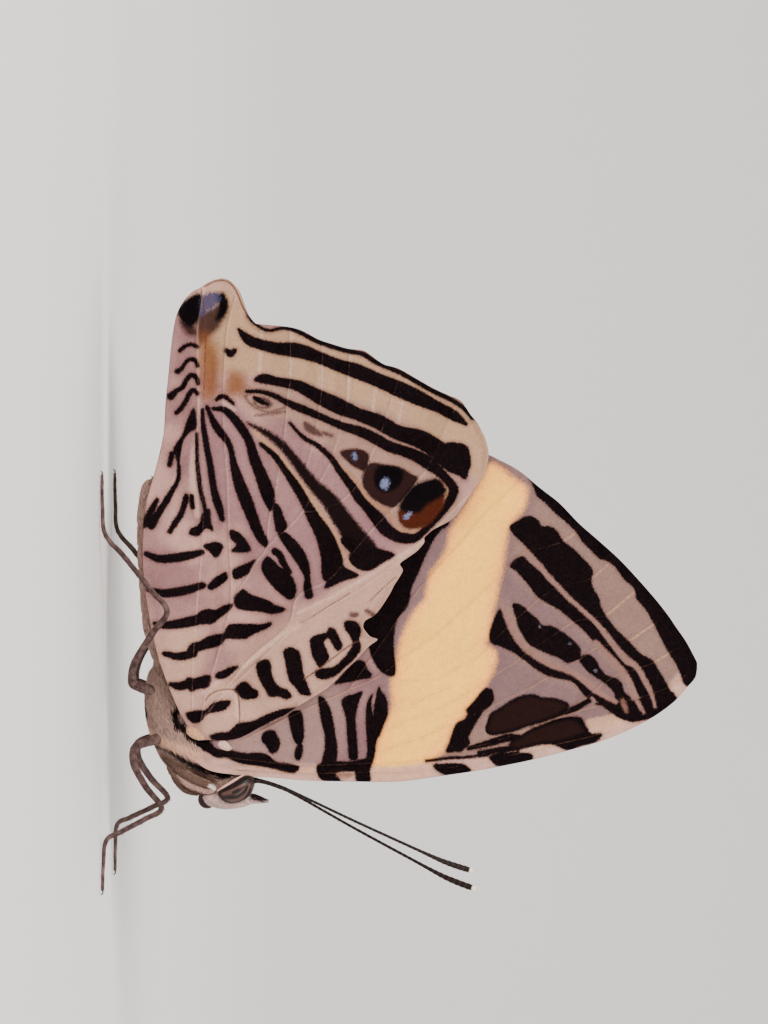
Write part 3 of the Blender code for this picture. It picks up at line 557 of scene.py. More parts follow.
# %% Marks of the forewing
FORE_STROKES, FORE_PATCHES = {}, {}
FORE_STROKES["dark"] = [
    [(428, 760, 2), (440, 758.4, 2), (453, 757, 2), (466, 756.5, 2), (490, 754, 2), (520, 752, 2)],
    [(470, 747.6, 3), (484, 744, 5), (495, 741, 6), (509, 737, 7), (519, 738, 8)],
    [(480, 752, 3), (502, 749, 5), (519, 747, 5)],
    [(552, 716, 3), (575, 708, 5), (590, 700, 4)],
    [(490, 692, 8), (482, 705, 10), (472, 720, 11), (464, 735, 11), (460, 746, 10)],
    [(600, 700, 3), (612, 708, 5), (626, 716, 6), (640, 716, 6), (652, 712, 6)],
]
FORE_PATCHES["dark"] = [
    [(264, 739), (267, 731), (275.6, 730), (279, 735), (282, 741.6), (279, 750.5), (273, 752),
     (268.6, 745)],
    [(291.5, 713.5), (302, 710), (305, 721), (305.6, 733), (304, 741.6), (298.6, 743), (294.7, 735),
     (292, 722)],
    [(300, 743.5), (304, 744), (304, 753), (301, 759), (296.7, 755.6)],
    [(321, 696.5), (326, 698), (332, 709), (335, 722), (337, 735), (339, 747.6), (338, 760), (334, 768),
     (341, 777), (341, 780), (330.6, 779), (323, 775.6), (320.4, 769), (324, 760), (327, 747.6),
     (327, 735), (324, 722), (321.7, 709)],
    [(344, 703), (347, 696.5), (355, 694), (364, 691), (361, 699), (358.7, 706.7), (357, 719.5),
     (358, 732), (359, 745), (359, 758), (353.6, 759), (351, 755), (350, 742), (349, 729.7), (348, 717)],
    [(374, 694), (369.5, 701.6), (368, 712), (368, 726), (369, 738.6), (369.5, 747.6), (370, 758),
     (377, 735), (376, 722), (373, 705)],
    [(379, 691), (383, 691), (387, 696.5), (389, 704), (389, 714), (385.5, 723), (381.6, 733.5),
     (378, 740), (376.5, 752.6), (374, 761.6), (371.4, 770.5), (371.4, 781), (360, 781), (357, 772),
     (359, 763), (368, 758)],
    [(320, 764), (335, 761), (350, 761), (371, 758), (371, 766), (357, 770), (340, 771), (337, 778),
     (345, 781), (330, 781), (321, 776)],
    [(191, 739), (201.6, 740), (212, 739), (219.5, 746.7), (232, 748.6), (247.6, 752), (260, 752),
     (269, 754), (278, 760.7), (289.6, 762.6), (301, 766), (296, 771.6), (286, 770), (270.5, 766.5),
     (255, 764), (240, 760.7), (229.7, 755), (219.5, 755), (209, 748.6), (196.5, 746.7)],
    [(360, 660), (366, 662), (369, 668.5), (373, 673.6), (371, 677), (361, 678.7), (351, 681),
     (342, 682.5), (337, 683), (343, 676), (351, 667)],
    [(450, 522), (441.6, 530), (434, 541), (429, 551), (424, 561.6), (420, 572), (415, 582), (412, 591),
     (411, 598.6), (408, 607.6), (402, 614), (397.6, 621.6), (395.7, 633), (395, 646), (396, 658.6),
     (397, 669), (395, 675), (389, 674), (381.6, 669), (374, 657), (370, 645), (360, 640), (360, 600),
     (400, 540), (440, 500)],
    # the outer band, which runs past the wing's edge, then the bands and ovals of the tip
    [(530, 478), (534, 484), (538.7, 495.7), (546, 501.6), (556, 512), (568, 522), (577, 531),
     (582.7, 539.7), (591.5, 549), (600, 557.4), (607.6, 560), (616, 566), (625, 578), (635.5, 588),
     (638, 598), (647, 609), (654.6, 622), (660.4, 633.7), (669, 650), (678, 664.5), (682.4, 675),
     (688, 685), (712, 680), (706, 640), (680, 600), (640, 560), (590, 515), (545, 478), (522, 462)],
    # second band of the tip
    [(522.5, 556), (531, 563), (541.6, 572), (550, 582), (559, 588), (574, 598), (582.7, 609), (596, 625),
     (604.7, 637), (615, 651), (625, 663), (635.5, 669), (643, 682), (650, 694), (659, 708.6), (656, 716),
     (647, 705.6), (640, 694), (634, 682), (627, 672), (616, 663), (607.6, 654), (597, 642.5),
     (585.6, 630), (574, 620), (562, 610), (550, 603), (538.7, 595.5), (530, 584), (518, 570.6),
     (511.5, 565)],
    [(511.5, 528), (519.6, 520.7), (530, 516), (538.7, 520), (543, 526.5), (550, 526), (558, 531),
     (564, 541), (574, 548.5), (582.7, 557), (588.6, 563), (593.7, 570.6), (592, 579), (594, 588),
     (600, 598), (602, 607), (609, 619), (619, 631), (631, 642.5), (641, 653), (653, 660), (659, 669),
     (666, 680.7), (672, 692), (678, 700), (660, 706), (653, 691), (646, 678), (638, 664.5), (627, 657),
     (616, 645.5), (606, 632), (597, 619), (585.6, 609), (571, 595.5), (556, 581), (541.6, 565),
     (524, 543)],
    [(515, 603), (524, 606), (530, 612), (538.7, 619), (543, 625), (552, 625.7), (559, 629), (568, 635),
     (575, 641), (581, 648), (581, 657), (575, 660), (568, 661.6), (560.7, 657), (550, 653), (538.7, 648),
     (530, 642.5), (524, 633.7), (519.6, 625), (518, 617.6), (515, 609)],
    [(581, 658.7), (588.6, 654), (596, 658.7), (600, 666), (607.6, 675), (616, 677.7), (622, 682),
     (625, 691), (631, 697), (634, 705.6), (641, 713), (619, 700), (615, 691), (606, 682), (597, 676),
     (588.6, 670)],
    [(502, 609), (494.7, 622), (491, 635), (493, 642), (502, 645.5), (514, 651), (525.5, 658.7),
     (538.7, 669), (550, 675), (562, 677.7), (574, 680.7), (581, 688), (588.6, 697), (594, 695),
     (599, 701), (606, 704), (617, 700), (597, 694), (588.6, 688), (580, 679), (571, 672), (563.6, 670),
     (553, 667.5), (543, 660), (531, 651), (521, 642.5), (514, 632), (510, 623.5)],
    [(597, 703), (612, 706), (619, 711.5), (625, 717), (634, 721), (652, 717), (666, 709), (678, 701),
     (670, 690), (655, 700), (640, 698), (628, 703), (619, 700)],
    [(487.5, 687.6), (492.6, 691), (495, 699), (489, 706.7), (482, 710.6), (471, 713), (468, 709),
     (475, 701.6), (481, 694)],
    [(464.5, 719.5), (478.6, 713), (477, 721), (473.5, 728), (469.6, 735), (471, 742), (466, 747.6),
     (453, 751), (448, 750), (452, 740), (455.6, 728), (459, 722)],
    [(530, 730.6), (541.6, 724.7), (553, 720), (566.5, 717), (581, 716.6), (585.6, 723), (588.6, 729),
     (593, 733), (603, 733.5), (596, 741.6), (582.7, 744.5), (571, 749), (563.6, 747), (553, 743),
     (542, 742), (534, 742), (530, 738)],
    [(435, 764), (443, 763), (463, 763), (469.6, 766.7), (471, 771), (450.5, 774), (443, 772),
     (438, 768.6)],
    [(491.7, 755.5), (505, 752.6), (530, 752.6), (534, 757), (531, 760), (515, 763), (500.5, 765),
     (494, 761)],
]
FORE_PATCHES["brown"] = [
    [(489, 722), (492, 713), (502, 707), (511, 701), (524, 695), (536, 694), (543, 697), (553, 697.5),
     (563.6, 700), (570, 704), (568, 708.6), (561, 714), (550, 719), (539, 722.5), (527, 726),
     (514, 730.6), (499, 733.5), (490, 733), (487, 727.6)],
    [(512, 741), (522, 735), (532, 729), (545, 724), (560, 719), (574, 717), (584, 724), (588, 731),
     (572, 739), (556, 742), (540, 744), (522, 748), (512, 748)],
]
print(len(FORE_STROKES["dark"]) + len(FORE_PATCHES["dark"]), "dark marks on the forewing")

# %% [markdown]
# The forewing's softer tones work the same way: the cream band, the grey-brown tip with its haze, the
# lighter root, and pale strokes along the front edge. The band is one outline, painted three times from
# wide and dull to narrow and bright, which gives it a lighter middle.

# %% Softer tones of the forewing
FORE_PATCHES["light"] = [
    [(621.5, 699), (624.5, 698.5), (627.5, 704), (629, 711), (626.5, 711.5), (623.5, 706)],
    [(338, 773), (343, 771.5), (352, 772), (357, 774), (350, 777.5), (342, 777)],
]
FORE_PATCHES["spots"] = [
    [(540, 626.4), (541, 625), (542.4, 626.4), (541, 627.8)],
    [(569.5, 643.3), (571, 641.8), (572.5, 643.3), (571, 644.8)],
    [(594.5, 669.7), (596.6, 667.5), (598.5, 669.7), (596.6, 672)],
]
FORE_PATCHES["band"] = [
    [(491, 466), (502, 468.6), (511, 476.7), (519.6, 482.5), (527, 488), (527, 498.7), (522.5, 510),
     (515, 519), (509, 528), (506, 543), (502, 572), (499, 584), (496, 601), (493, 613), (491, 629),
     (490, 637), (486, 643), (496, 652), (496, 662), (491, 676), (482, 691), (475, 701.6), (468, 712),
     (461, 721), (453, 731), (449, 742), (444, 751), (436, 758), (434, 768), (430, 782), (372, 785),
     (372.7, 768), (375, 759), (378, 747.6), (381.6, 735), (388, 722), (393, 712), (395.7, 701.6),
     (394, 691), (394.4, 680), (398, 671), (399.5, 658.6), (402, 646), (406, 633), (412, 620),
     (418.6, 609), (427.6, 598.6), (429, 590), (433, 574), (441.6, 561.6), (449, 549), (453, 531),
     (466, 510.6), (478, 490)],
]
FORE_PATCHES["tip"] = [
    [(491, 460), (527, 486), (522, 510), (509, 528), (502, 572), (496, 601), (491, 629), (487, 643),
     (496, 657), (482, 691), (461, 721), (449, 742), (436, 758), (434, 790), (520, 780), (600, 755),
     (660, 735), (715, 690), (712, 650), (640, 560), (560, 480), (500, 445)],
]
# Painted shade and sheen: a grey-brown strip between the hindwing's edge and the cream band, where the dark
# band lies half in the hindwing's shade
FORE_PATCHES["grey"] = [
    [(485, 480), (466, 510.6), (453, 531), (449, 549), (441.6, 561.6), (433, 574), (429, 590),
     (418.6, 609), (406, 633), (402, 646), (398, 671), (390, 680), (380, 660), (395, 600), (430, 540),
     (470, 480)],
]
FORE_PATCHES["root"] = [
    [(228, 744), (258, 728), (296, 702), (326, 688), (342, 694), (340, 730), (334, 770), (300, 770),
     (258, 758)],
]
FORE_PATCHES["haze"] = [
    [(497, 585), (512, 570), (530, 590), (560, 612), (590, 640), (618, 672), (640, 706), (600, 700),
     (560, 665), (540, 640), (520, 610), (505, 600)],
    [(495, 645), (515, 655), (545, 675), (580, 690), (620, 712), (600, 724), (560, 714), (520, 722),
     (488, 705), (484, 690)],
]
FORE_STROKES["lines"] = [
    [(522, 544, 3), (538.7, 562, 4), (550, 576, 4.5), (568, 595.5, 4.5), (582.7, 609, 4), (602, 627, 4),
     (616, 645, 4.5), (627, 657, 4.5), (638, 666, 4.5), (646, 679, 4), (652, 691, 3.5), (656, 706, 2.5)],
    [(503, 600, 4), (509, 618, 6), (520, 640, 6), (535, 654, 6), (552, 664, 6), (572, 671, 6),
     (590, 683, 6), (604, 694, 5), (617, 701, 4)],
    [(597, 642, 5), (612, 658, 6), (624, 671, 6), (632, 684, 5), (637, 698, 4), (645, 712, 3)],
]
FORE_STROKES["pale"] = [
    [(250, 764, 4), (290, 770, 5), (330, 766, 3), (365, 764, 3)], [(575, 534, 1), (564, 541, 1)],
    [(608.7, 564, 1), (593, 578, 1)], [(635.5, 591, 1.4), (608.7, 613.5, 1.4)],
    [(654, 624, 1.4), (631.8, 639, 1.4)], [(670.6, 652, 1.1), (655.8, 661.4, 1.1)],
    [(682.6, 677, 1), (671.5, 685.4, 1)], [(552, 743, 3), (575, 738, 3), (602, 733, 3)],
    [(592, 722, 9), (602, 723, 14), (614, 720, 13), (625, 717, 8)],
]
FORE_VEINS = [
    [(225, 755), (300, 764), (376, 762), (427, 758), (480, 745), (509, 736), (539, 726), (562, 716),
     (600, 705), (640, 697), (671.5, 685.4), (682.6, 677), (686, 674.5)],
    [(240, 768), (300, 772), (380, 771), (440, 768), (500, 757), (560, 743), (612, 731)],
    [(539, 725), (562, 715), (574, 706), (586, 698), (600, 686), (619, 674), (638, 668), (655.8, 661.4),
     (670.6, 652), (677, 648)],
    [(389, 748), (410, 741), (435, 731), (453, 723), (471, 716), (482, 710.6), (509, 698), (530, 688),
     (552, 675), (581, 658.6), (597.6, 647), (616, 643.5), (631.8, 638.5), (654, 624), (660, 620)],
    [(389, 730), (410, 719.5), (435, 710.6), (453, 701.6), (466, 693), (485, 682.5), (500, 672),
     (515, 663), (530, 651), (563, 629), (575.4, 621), (592, 618), (608.7, 613), (635.5, 591),
     (641, 586.5)],
    [(403, 679), (428, 679), (443, 675), (459, 667), (479, 657), (500, 635), (533, 605), (552, 590),
     (570, 584), (593, 577.5), (608.7, 564), (613, 560)],
    [(240, 742), (300, 712), (345, 692), (380, 676), (402, 659), (421, 646), (440, 633), (459, 615),
     (479, 597), (500, 577), (512.5, 564), (526, 552), (546, 547), (564, 541), (575, 533.5), (580, 530)],
    [(350, 690), (385, 640), (415, 596), (440, 567), (452, 554), (466, 539), (479, 523), (491, 510),
     (503.5, 499), (517, 484), (528, 476)],
    [(415, 704), (435, 693), (453, 686)],
]
print(len(set(FORE_PATCHES) | set(FORE_STROKES)), "kinds of mark on the forewing")

# %% [markdown]
# Now the wing sheets. A wing could be a plane cut to shape, but a ruled grid keeps a clean rim. The
# outer face stands on the solid's outer face for the forewing, and just above the forewing for the
# hindwing. Veins rise as soft ridges, and the membrane between them sags a little. The inner face is
# coarser, one sheet's thickness behind, and meets the outer one along the rim, so the wing is closed.

# %% A wing as a ruled grid
ALONG, ACROSS = 400, 198
VEIN_REACH, VEIN_RISE, VEIN_SPREAD = 3.0, 0.11, 0.09
SAG, SAG_REACH = 0.17, 1.5


def evenly(line, count):
    """count points spaced evenly along a line of points."""
    runs = np.concatenate([[0], np.cumsum(np.hypot(*np.diff(line, axis=0).T))])
    marks = np.linspace(0, runs[-1], count)
    return np.column_stack([np.interp(marks, runs, line[:, i]) for i in (0, 1)])


def wing_plan(front, back):
    """Ruled grid: at share u of both edges and share v between them, (1 - v) front(u) + v back(u)."""
    a = evenly(curve_through(on_wing(front)), ALONG + 1)[:, None, :]
    b = evenly(curve_through(on_wing(back)), ALONG + 1)[:, None, :]
    v = np.linspace(0, 1, ACROSS + 1)[None, :, None]
    return (1 - v) * a + v * b


def vein_relief(points, veins):
    """Ridges: each vein adds a bell curve of its distance; between veins the sheet sags."""
    gap = np.full(len(points), VEIN_REACH)
    for vein in veins:
        line = curve_through(on_wing(vein))
        near = near_box(points, line, VEIN_REACH)
        gap[near] = np.minimum(gap[near], nearest(points[near], line))
    return VEIN_RISE * np.exp(-((gap / VEIN_SPREAD) ** 2)) - SAG * ease(gap / SAG_REACH), gap


ROOT_ENDS = np.array([(10.1, 5.9), (12.0, 6.1)])
ROOT_SINK, ROOT_REACH = 0.85, 1.1
HIND_SHARE, HIND_OUT = 0.8, 0.3
FORE_IN, FORE_DROP, DROP_HEIGHT = 0.1, 0.24, 1.8


def outer_face(x, z, hind):
    """Sideways place of a wing's outer face, before veins: body clearance, forewing, then hindwing.

    Near the line between the two hinges both wings dip into the body, as a bell curve of the distance.
    """
    (x0, z0), (x1, z1) = ROOT_ENDS
    along = np.clip((x - x0) / (x1 - x0), 0, 1)
    far = np.hypot(x - x0 - along * (x1 - x0), z - z0 - along * (z1 - z0))
    base = wing_base(x, z) - ROOT_SINK * np.exp(-((far / ROOT_REACH) ** 2))
    if hind:
        return base + (HIND_SHARE * HIND_STEP * over_forewing(x, z) + HIND_OUT) * slant(x, z)
    drop = FORE_DROP * (1 - ease((z - OVERLAP_LOW) / DROP_HEIGHT))
    return base + (WING_THICKNESS - FORE_IN - drop) * slant(x, z)


def grid_index(rows, cols, first=0):
    """The numbers of a grid's points, row by row."""
    return first + np.arange(rows * cols).reshape(rows, cols)


def quad_faces(*corners):
    """Faces of four points, from four grids of point numbers: one grid for each corner."""
    return [tuple(face) for face in np.stack(corners, axis=-1).reshape(-1, 4).tolist()]


def closed_sheet(plan, y_out, y_in):
    """Points and faces of a closed wing: fine outer grid, coarse inner grid that shares the whole rim."""
    rows, cols = plan.shape[:2]
    index = grid_index(rows, cols)
    columns = [0, 2, 5, 10] + list(range(16, cols - 14, 6)) + [cols - 11, cols - 6, cols - 3, cols - 1]
    coarse = plan[1:-1, columns[1:-1]]
    full = np.column_stack([index[1:-1, 0], grid_index(*coarse.shape[:2], rows * cols), index[1:-1, -1]])
    faces = quad_faces(index[:-1, :-1], index[1:, :-1], index[1:, 1:], index[:-1, 1:])
    faces += quad_faces(full[:-1, :-1], full[:-1, 1:], full[1:, 1:], full[1:, :-1])
    for j, (left, right) in enumerate(zip(columns, columns[1:])):
        run = slice(left, right + 1)
        faces.append(tuple(index[0, run].tolist()) + (int(full[0, j + 1]), int(full[0, j])))
        faces.append(tuple(index[-1, run][::-1].tolist()) + (int(full[-1, j]), int(full[-1, j + 1])))
    sheets = ((plan, y_out), (coarse, y_in[1:-1, columns[1:-1]]))
    points = [np.column_stack([p[..., 0].ravel(), y.ravel(), p[..., 1].ravel()]) for p, y in sheets]
    return np.vstack(points), faces


def add_mesh(name, points, faces, flip=False):
    """A smooth-shaded object from points in millimetres; flip turns every face round."""
    mesh = bpy.data.meshes.new(name)
    mesh.from_pydata((np.asarray(points) * MM).tolist(), [], [f[::-1] for f in faces] if flip else faces)
    mesh.shade_smooth()
    return add_object(name, mesh)


def store(piece, name, values):
    """One number for each point of a piece, which its material reads by name."""
    layer = piece.data.attributes.new(name, "FLOAT", "POINT")
    layer.data.foreach_set("value", np.asarray(values, np.float32))


SIDES = {"left": 1, "right": -1}
RIM_POINTS, RIM_FADE, RIM_ROUND = 160, 0.5, 0.3
SHEET, SAG_ROOM = 0.14, 0.16


def make_wing_pair(kind, front, back, veins, layers):
    """Left and right wing of one kind, with the marks' distances stored on both.

    The inner face lies behind the outer one by a sheet's thickness, which rounds off to nothing at the
    rim as the root of the distance, and by the room that the sag between the veins needs.
    """
    plan = wing_plan(front, back)
    flat = plan.reshape(-1, 2)
    relief, vein_gap = vein_relief(flat, veins)
    rim = np.minimum(*[nearest(flat, evenly(plan[:, edge], RIM_POINTS)) for edge in (0, -1)])
    fade = ease(rim / RIM_FADE)
    x, z = flat[:, 0], flat[:, 1]
    level = outer_face(x, z, kind == "hindwing")
    out = level + relief * fade
    behind = level - (SHEET * np.sqrt(np.clip(rim / RIM_ROUND, 0, 1)) + SAG_ROOM * fade) * slant(x, z)
    shape = plan.shape[:2]
    points, faces = closed_sheet(plan, out.reshape(shape), behind.reshape(shape))
    inner_count = len(points) - len(flat)
    pair = []
    for side, sign in SIDES.items():
        piece = add_mesh(f"{kind}_scales_{side}", points * [1, sign, 1], faces, flip=sign > 0)
        for name, values in [("vein", vein_gap), ("rim", rim)] + list(layers(flat).items()):
            store(piece, name, np.concatenate([values, np.full(inner_count, REACH)]))
        store(piece, "under", np.concatenate([np.zeros(len(flat)), np.ones(inner_count)]))
        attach(piece, "root")
        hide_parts(f"{kind}_{side}")
        pair.append(piece)
    print(kind, len(points), "points", len(faces), "faces")
    return pair

# %% [markdown]
# Materials next. A butterfly's colour sits in tiny flat scales that lie like roof tiles. A cell texture
# of a tenth of a millimetre stands for them: each cell gets its own random number, which ruffles the
# borders of the marks and shades single scales, and the cell's distance gives the bump. The first group
# makes the cells, and the second turns a mark's distance into a mask with a ragged, slightly soft edge.

# %% Tools for materials
def plug(tree, socket, value):
    """Link a socket to another, or set its number or colour."""
    if isinstance(value, bpy.types.NodeSocket):
        tree.links.new(value, socket)
    else:
        socket.default_value = value


def number(tree, operation, a, b=0.0):
    """One step of arithmetic on sockets or numbers."""
    node = tree.nodes.new("ShaderNodeMath")
    node.operation = operation
    plug(tree, node.inputs[0], a)
    plug(tree, node.inputs[1], b)
    return node.outputs[0]


def ramp(tree, value, low, high):
    """0 at low, 1 at high, smooth between; low may be the larger one."""
    node = tree.nodes.new("ShaderNodeMapRange")
    node.interpolation_type = "SMOOTHSTEP"
    plug(tree, node.inputs["Value"], value)
    plug(tree, node.inputs["From Min"], low)
    plug(tree, node.inputs["From Max"], high)
    return node.outputs["Result"]


def mix(tree, share, a, b, kind="MIX"):
    """Mix two colours by a share; the node's inputs 6 and 7 and its output 2 are the coloured ones."""
    node = tree.nodes.new("ShaderNodeMix")
    node.data_type, node.blend_type = "RGBA", kind
    plug(tree, node.inputs[0], share)
    plug(tree, node.inputs[6], a)
    plug(tree, node.inputs[7], b)
    return node.outputs[2]


def attribute(tree, name):
    """A stored number of the mesh, by name."""
    node = tree.nodes.new("ShaderNodeAttribute")
    node.attribute_name = name
    return node.outputs["Fac"]


def texture(tree, kind, scale=None):
    """A texture node at the piece's own coordinates, with so many waves or cells a metre."""
    where = tree.nodes.new("ShaderNodeTexCoord")
    node = tree.nodes.new(kind)
    tree.links.new(where.outputs["Object"], node.inputs["Vector"])
    if scale is not None:
        node.inputs["Scale"].default_value = scale
    return node


def noise(tree, scale, detail=2.0):
    """Noise with so many waves a metre."""
    node = texture(tree, "ShaderNodeTexNoise", scale)
    node.inputs["Detail"].default_value = detail
    return node.outputs["Fac"]


def srgb(r, g, b):
    """A colour given as 0 to 255 screen values, as the linear values that shaders use."""
    return tuple(v / 12.92 if v <= 0.04045 else ((v + 0.055) / 1.055) ** 2.4
                 for v in (c / 255 for c in (r, g, b))) + (1.0,)


def fresh_material(name, roughness, specular):
    """A material with one principled shader: its tree and its shader."""
    material = bpy.data.materials.new(name)
    material.use_nodes = True
    shader = material.node_tree.nodes["Principled BSDF"]
    shader.inputs["Roughness"].default_value = roughness
    shader.inputs["Specular IOR Level"].default_value = specular
    return material, material.node_tree, shader


def bump(tree, shader, height, distance, strength):
    """Turn a height between 0 and 1 into a bump of so many metres."""
    node = tree.nodes.new("ShaderNodeBump")
    node.inputs["Strength"].default_value = strength
    node.inputs["Distance"].default_value = distance
    tree.links.new(height, node.inputs["Height"])
    tree.links.new(node.outputs["Normal"], shader.inputs["Normal"])


def make_scale_group():
    """Cells, one for each scale: two random numbers, and a height that falls from the middle."""
    tree = bpy.data.node_groups.new("wing_scale_cells", "ShaderNodeTree")
    tree.interface.new_socket("Scale", in_out="INPUT", socket_type="NodeSocketFloat")
    for name in ("Jitter", "Shade", "Height"):
        tree.interface.new_socket(name, in_out="OUTPUT", socket_type="NodeSocketFloat")
    start, end = tree.nodes.new("NodeGroupInput"), tree.nodes.new("NodeGroupOutput")
    cells = texture(tree, "ShaderNodeTexVoronoi")
    split = tree.nodes.new("ShaderNodeSeparateColor")
    tree.links.new(start.outputs["Scale"], cells.inputs["Scale"])
    tree.links.new(cells.outputs["Color"], split.inputs["Color"])
    tree.links.new(split.outputs["Red"], end.inputs["Jitter"])
    tree.links.new(split.outputs["Green"], end.inputs["Shade"])
    tree.links.new(number(tree, "SUBTRACT", 1.0, cells.outputs["Distance"]), end.inputs["Height"])
    return tree


def make_mark_group():
    """Mask of a mark: 1 inside and 0 outside its border, which the jitter moves in and out."""
    tree = bpy.data.node_groups.new("wing_mark", "ShaderNodeTree")
    for name in ("Distance", "Jitter", "Ragged", "Soft"):
        tree.interface.new_socket(name, in_out="INPUT", socket_type="NodeSocketFloat")
    tree.interface.new_socket("Mask", in_out="OUTPUT", socket_type="NodeSocketFloat")
    start, end = tree.nodes.new("NodeGroupInput"), tree.nodes.new("NodeGroupOutput")
    centred = number(tree, "SUBTRACT", start.outputs["Jitter"], 0.5)
    shift = number(tree, "MULTIPLY", centred, start.outputs["Ragged"])
    moved = number(tree, "ADD", start.outputs["Distance"], shift)
    out = number(tree, "MULTIPLY", start.outputs["Soft"], -1.0)
    tree.links.new(ramp(tree, moved, start.outputs["Soft"], out), end.inputs["Mask"])
    return tree


SCALE_CELLS, MARK = make_scale_group(), make_mark_group()


def group(tree, kind, **values):
    """A group node with some of its inputs plugged."""
    node = tree.nodes.new("ShaderNodeGroup")
    node.node_tree = kind
    for name, value in values.items():
        plug(tree, node.inputs[name], value)
    return node


print("groups:", SCALE_CELLS.name, MARK.name)

# %% [markdown]
# Each wing's paint is a short list, laid on in order like a poster print: a field's name, how far past
# its border the paint reaches, a colour, how ragged and how soft the border is in millimetres, and how
# strongly the paint covers. Scale by scale it gets a little lighter or darker. The hidden upper sides
# are plain dark brown.

# %% Wing paint
DARK, DARK_WARM = (7, 2, 4), (22, 9, 10)
MAUVE, MAUVE_LIGHT = srgb(128, 92, 92), srgb(170, 130, 120)
HIND_PAINT = [
    ("beige", 0.0, (172, 134, 116), 0.2, 0.6, 0.9),
    ("tan", 0.0, (162, 128, 100), 0.2, 0.4, 0.95),
    ("taupe", 0.0, (142, 110, 96), 0.2, 0.4, 0.9),
    ("mauve", 0.0, (132, 96, 98), 0.2, 0.35, 0.85),
    # painted highlight: the first vein layer and the pale strokes light the ridges of the veins and folds
    ("vein", 0.03, (206, 172, 156), 0.05, 0.06, 0.55),
    ("pale", 0.0, (208, 172, 154), 0.15, 0.14, 0.55),
    ("dark", 0.16, (96, 64, 62), 0.10, 0.20, 0.50),
    ("olive", 0.0, (158, 120, 94), 0.14, 0.20, 0.9),
    ("brownish", 0.0, (18, 8, 8), 0.14, 0.16, 1.0),
    ("dusk", 0.1, (40, 22, 20), 0.10, 0.30, 0.95),
    ("orange", 0.0, (108, 64, 34), 0.2, 0.6, 0.9),
    ("smudge", 0.0, (58, 36, 36), 0.10, 0.16, 0.9),
    ("rings", 0.0, (146, 106, 82), 0.08, 0.14, 0.95),
    ("brown", 0.04, (36, 19, 18), 0.10, 0.12, 1.0),
    ("dark", 0.05, DARK, 0.07, 0.075, 1.0),
    ("rust", 0.0, (60, 24, 11), 0.10, 0.16, 1.0),
    ("black", 0.08, (5, 2, 4), 0.08, 0.18, 1.0),
    ("blue", 0.0, (52, 52, 78), 0.25, 0.14, 0.92),
    ("spots", 0.0, (104, 110, 140), 0.24, 0.12, 0.9),
    ("vein", 0.01, (150, 112, 104), 0.03, 0.04, 0.35),
    # painted shade in the creases of the wing
    ("fold", 0.0, (74, 44, 38), 0.03, 0.05, 0.85),
]
FORE_PAINT = [
    ("tip", 0.0, (142, 112, 94), 0.2, 0.4, 1.0),
    ("haze", 0.0, (114, 90, 88), 0.3, 0.5, 0.85),
    ("root", 0.0, (158, 126, 114), 0.2, 0.6, 0.9),
    ("band", 1.2, (104, 80, 84), 0.3, 1.2, 0.8),
    # the grey strip is painted shade and sheen on the dark band beside the hindwing's edge
    ("grey", 0.0, (112, 88, 90), 0.2, 0.40, 0.9),
    ("band", 0.05, (250, 164, 86), 0.16, 0.32, 1.0),
    ("band", -0.4, (255, 190, 80), 0.30, 0.80, 1.0),
    ("pink", 0.0, (186, 146, 130), 0.15, 0.25, 0.9),
    ("vein", 0.02, (190, 130, 88), 0.04, 0.05, 0.6),
    ("pale", 0.0, (184, 142, 114), 0.10, 0.10, 0.8),
    ("dark", 0.14, (92, 62, 58), 0.10, 0.18, 0.45),
    ("dark", 0.05, DARK, 0.07, 0.075, 1.0),
    ("lines", 0.0, (128, 94, 86), 0.10, 0.10, 0.95),
    ("brown", 0.06, DARK, 0.08, 0.10, 1.0),
    ("brown", -0.18, (28, 13, 11), 0.10, 0.16, 1.0),
    ("light", 0.0, (120, 84, 72), 0.10, 0.14, 0.8),
    ("spots", -0.03, (112, 106, 118), 0.12, 0.07, 0.7),
    ("vein", 0.0, (140, 100, 78), 0.03, 0.04, 0.4),
]
UPPER_SIDE, UPPER_LIGHT = srgb(52, 36, 28), srgb(70, 50, 38)
SCALES_PER_METRE, SCALE_BUMP = 12500.0, 0.00003
SCALE_SHADES = 0.22
MOTTLES = ((380.0, 0.16), (2600.0, 0.26))


def wing_material(name, paint):
    """Ground colour, then each layer of paint, then scale shading; the inner face is dark brown.

    The shading is a product: the scale's own shade times a soft and a fine noise, each about 1.
    """
    material, tree, shader = fresh_material(name, 0.75, 0.04)
    cells = group(tree, SCALE_CELLS, Scale=SCALES_PER_METRE)
    colour = mix(tree, ramp(tree, noise(tree, 260.0), 0.35, 0.7), MAUVE, MAUVE_LIGHT)
    for field, reach, tint, ragged, soft, cover in paint:
        distance = number(tree, "SUBTRACT", attribute(tree, field), reach)
        mask = group(tree, MARK, Distance=distance, Jitter=cells.outputs["Jitter"],
                     Ragged=ragged, Soft=soft).outputs["Mask"]
        tone = srgb(*tint)
        if tint == DARK:
            tone = mix(tree, ramp(tree, cells.outputs["Shade"], 0.55, 1.0), tone, srgb(*DARK_WARM))
        colour = mix(tree, number(tree, "MULTIPLY", mask, cover), colour, tone)
    shade = number(tree, "MULTIPLY", cells.outputs["Shade"], SCALE_SHADES)
    shade = number(tree, "ADD", shade, 0.86)
    for scale, depth in MOTTLES:
        mottle = number(tree, "MULTIPLY", noise(tree, scale, 3.0), depth)
        shade = number(tree, "MULTIPLY", shade, number(tree, "ADD", mottle, 1 - 0.5 * depth))
    colour = mix(tree, 1.0, colour, shade, "MULTIPLY")
    upper = mix(tree, ramp(tree, noise(tree, 700.0), 0.3, 0.7), UPPER_SIDE, UPPER_LIGHT)
    colour = mix(tree, attribute(tree, "under"), colour, upper)
    tree.links.new(colour, shader.inputs["Base Color"])
    bump(tree, shader, cells.outputs["Height"], SCALE_BUMP, 0.45)
    return material


